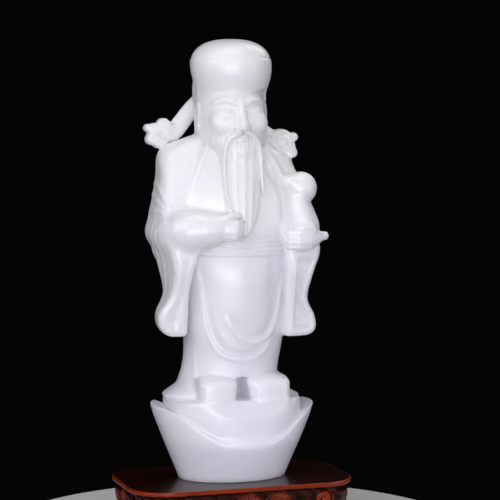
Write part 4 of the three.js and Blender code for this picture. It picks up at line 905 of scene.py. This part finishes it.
def lacquered_rosewood():
    material, tree = blank("lacquered_rosewood")
    where = add_node(tree, "ShaderNodeTexCoord").outputs["Object"]
    stretch = (per_metre(GRAIN_LONG), per_metre(GRAIN_WIDE), per_metre(GRAIN_WIDE))
    stretched = add_node(tree, "ShaderNodeMapping", {"Vector": where, "Scale": stretch})
    grain = add_node(tree, "ShaderNodeTexNoise", {
        "Vector": stretched.outputs["Vector"], "Scale": 1.0, "Detail": 6.0, "Roughness": 0.6,
        "Distortion": 0.6})
    # This attribute carries painted shade in the hollows and on the flat top, and painted highlight mixed
    # with real wear on edges and raised parts.
    wear_and_shading = add_node(tree, "ShaderNodeAttribute", attribute_name="wear_and_shading")
    wear_and_shading_part = add_node(tree, "ShaderNodeMath", {0: wear_and_shading.outputs["Fac"], 1: 0.8}, operation="MULTIPLY")
    streak = add_node(tree, "ShaderNodeMapRange", {
        "Value": grain.outputs["Fac"], "From Min": 0.3, "From Max": 0.7, "To Min": -0.14, "To Max": 0.22})
    depth = add_node(tree, "ShaderNodeMath", {
        0: wear_and_shading_part.outputs["Value"], 1: streak.outputs["Result"]}, operation="ADD")
    tone = add_node(tree, "ShaderNodeValToRGB", {"Fac": depth.outputs["Value"]})
    tone.color_ramp.elements[0].position, tone.color_ramp.elements[0].color = 0.05, linear("0e0202")
    tone.color_ramp.elements[1].position, tone.color_ramp.elements[1].color = 0.95, linear("8e2f10")
    tone.color_ramp.elements.new(0.45).color = linear("3a0c05")
    polish = add_node(tree, "ShaderNodeAttribute", attribute_name="polish")
    bump = add_node(tree, "ShaderNodeBump", {
        "Height": grain.outputs["Fac"], "Strength": 0.12, "Distance": 0.4 * MM})
    wood = add_node(tree, "ShaderNodeBsdfPrincipled", {
        "Base Color": tone.outputs["Color"], "Roughness": 0.38, "Specular IOR Level": 0.3,
        "Specular Tint": linear("d98a72"), "Coat Weight": polish.outputs["Fac"], "Coat Roughness": 0.05,
        "Coat IOR": 1.5, "Normal": bump.outputs["Normal"]})
    add_node(tree, "ShaderNodeOutputMaterial", {"Surface": wood.outputs["BSDF"]})
    return material


# Matt paint on the floor: an even light grey without a shine.
def plain_paint():
    material, tree = blank("plain_floor_paint")
    paint = add_node(tree, "ShaderNodeBsdfPrincipled", {"Base Color": linear("d8d8d6"), "Roughness": 0.7})
    add_node(tree, "ShaderNodeOutputMaterial", {"Surface": paint.outputs["BSDF"]})
    return material


GROUND = STAND["high"] + STAND["seat"]
points, quads = surface(jade_field, **JADE_GRID)
points[:, 2] = np.maximum(points[:, 2], 0) + GROUND
jade = piece_of("jade_carving", points, quads)
jade.data.materials.append(polished_white_jade())
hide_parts("jade_figure")
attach(jade, "root")

points, quads = surface(stand_field, **STAND_GRID)
points[:, 2] = np.clip(points[:, 2], 0, STAND["high"])
stand = piece_of("rosewood_stand", points, quads)
mark_wear_shading_and_polish(stand)
stand.data.materials.append(lacquered_rosewood())
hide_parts("wood_stand")
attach(stand, "root")


# Camera, floor and light. The camera's sizes are in millimetres, those of the floor and the lamps in metres.
CAMERA = {"azimuth": -18, "height": 338, "away": 1500, "aim": (12.9, 194), "mm_per_pixel": 0.68,
          "pixels": 500, "sensor": 36}
FLOOR_RINGS = ((0.166, 0), (0.17, -0.002), (0.17, -0.012))
LAMP_TARGET = Vector((0, 0, 0.19))


def set_camera():
    """A long lens, a little to the left of the front and a little above the figure's middle."""
    a = math.radians(CAMERA["azimuth"])
    right = Vector((math.cos(a), math.sin(a), 0))
    aim = right * CAMERA["aim"][0] + Vector((0, 0, CAMERA["aim"][1]))
    spot = aim + Vector((math.sin(a), -math.cos(a), 0)) * CAMERA["away"]
    spot.z = CAMERA["height"]
    data = bpy.data.cameras.new("camera")
    data.sensor_width = CAMERA["sensor"]
    data.lens = CAMERA["sensor"] * CAMERA["away"] / CAMERA["mm_per_pixel"] / CAMERA["pixels"]
    data.clip_start, data.clip_end = 0.01, 50
    camera = bpy.data.objects.new("camera", data)
    camera.location = spot * MM
    camera.rotation_euler = (aim - spot).to_track_quat("-Z", "Y").to_euler()
    bpy.context.scene.collection.objects.link(camera)
    bpy.context.scene.camera = camera


def add_floor():
    """A round board with a softened edge under the stand."""
    around = 96
    spots = [(r * math.cos(2 * math.pi * k / around), r * math.sin(2 * math.pi * k / around), z)
             for r, z in FLOOR_RINGS for k in range(around)]
    faces = [tuple(range(around))]
    for i in range(len(FLOOR_RINGS) - 1):
        for k in range(around):
            m = (k + 1) % around
            faces.append((i * around + k, (i + 1) * around + k, (i + 1) * around + m, i * around + m))
    mesh = bpy.data.meshes.new("floor")
    mesh.from_pydata(spots, [], faces)
    mesh.materials.append(plain_paint())
    floor = bpy.data.objects.new("floor", mesh)
    bpy.context.scene.collection.objects.link(floor)


def soft_box(name, azimuth, elevation, away, width, height, power, tint="ffffff"):
    """A flat oblong lamp that faces the figure. Azimuth 0 is straight in front, and more is to the right."""
    data = bpy.data.lights.new(name, "AREA")
    data.shape, data.size, data.size_y = "RECTANGLE", width, height
    data.energy, data.color = power, linear(tint)[:3]
    a, e = math.radians(azimuth), math.radians(elevation)
    spot = LAMP_TARGET + Vector((math.sin(a) * math.cos(e), -math.cos(a) * math.cos(e), math.sin(e))) * away
    lamp = bpy.data.objects.new(name, data)
    lamp.location = spot
    lamp.rotation_euler = (LAMP_TARGET - spot).to_track_quat("-Z", "Y").to_euler()
    bpy.context.scene.collection.objects.link(lamp)


set_camera()
add_floor()
soft_box("key_soft_box", -62, 28, 1.2, 0.9, 0.9, 6.3, "fbf8ff")
soft_box("front_soft_box", -16, 10, 1.3, 1.0, 0.8, 3.8, "faf8ff")
soft_box("low_soft_box", -14, -4, 1.2, 1.0, 0.25, 5.6, "f4f3ff")
soft_box("fill_soft_box", 48, 6, 1.2, 0.8, 0.9, 3.1, "faf8ff")
soft_box("top_soft_box", -10, 80, 1.0, 0.5, 0.5, 2)
soft_box("back_soft_box", 120, 45, 1.2, 0.6, 0.8, 3)
world = bpy.data.worlds.new("dark_studio")
world.use_nodes = True
world.node_tree.nodes["Background"].inputs["Color"].default_value = linear("050505")
bpy.context.scene.world = world
bpy.context.scene.view_settings.view_transform = "Standard"
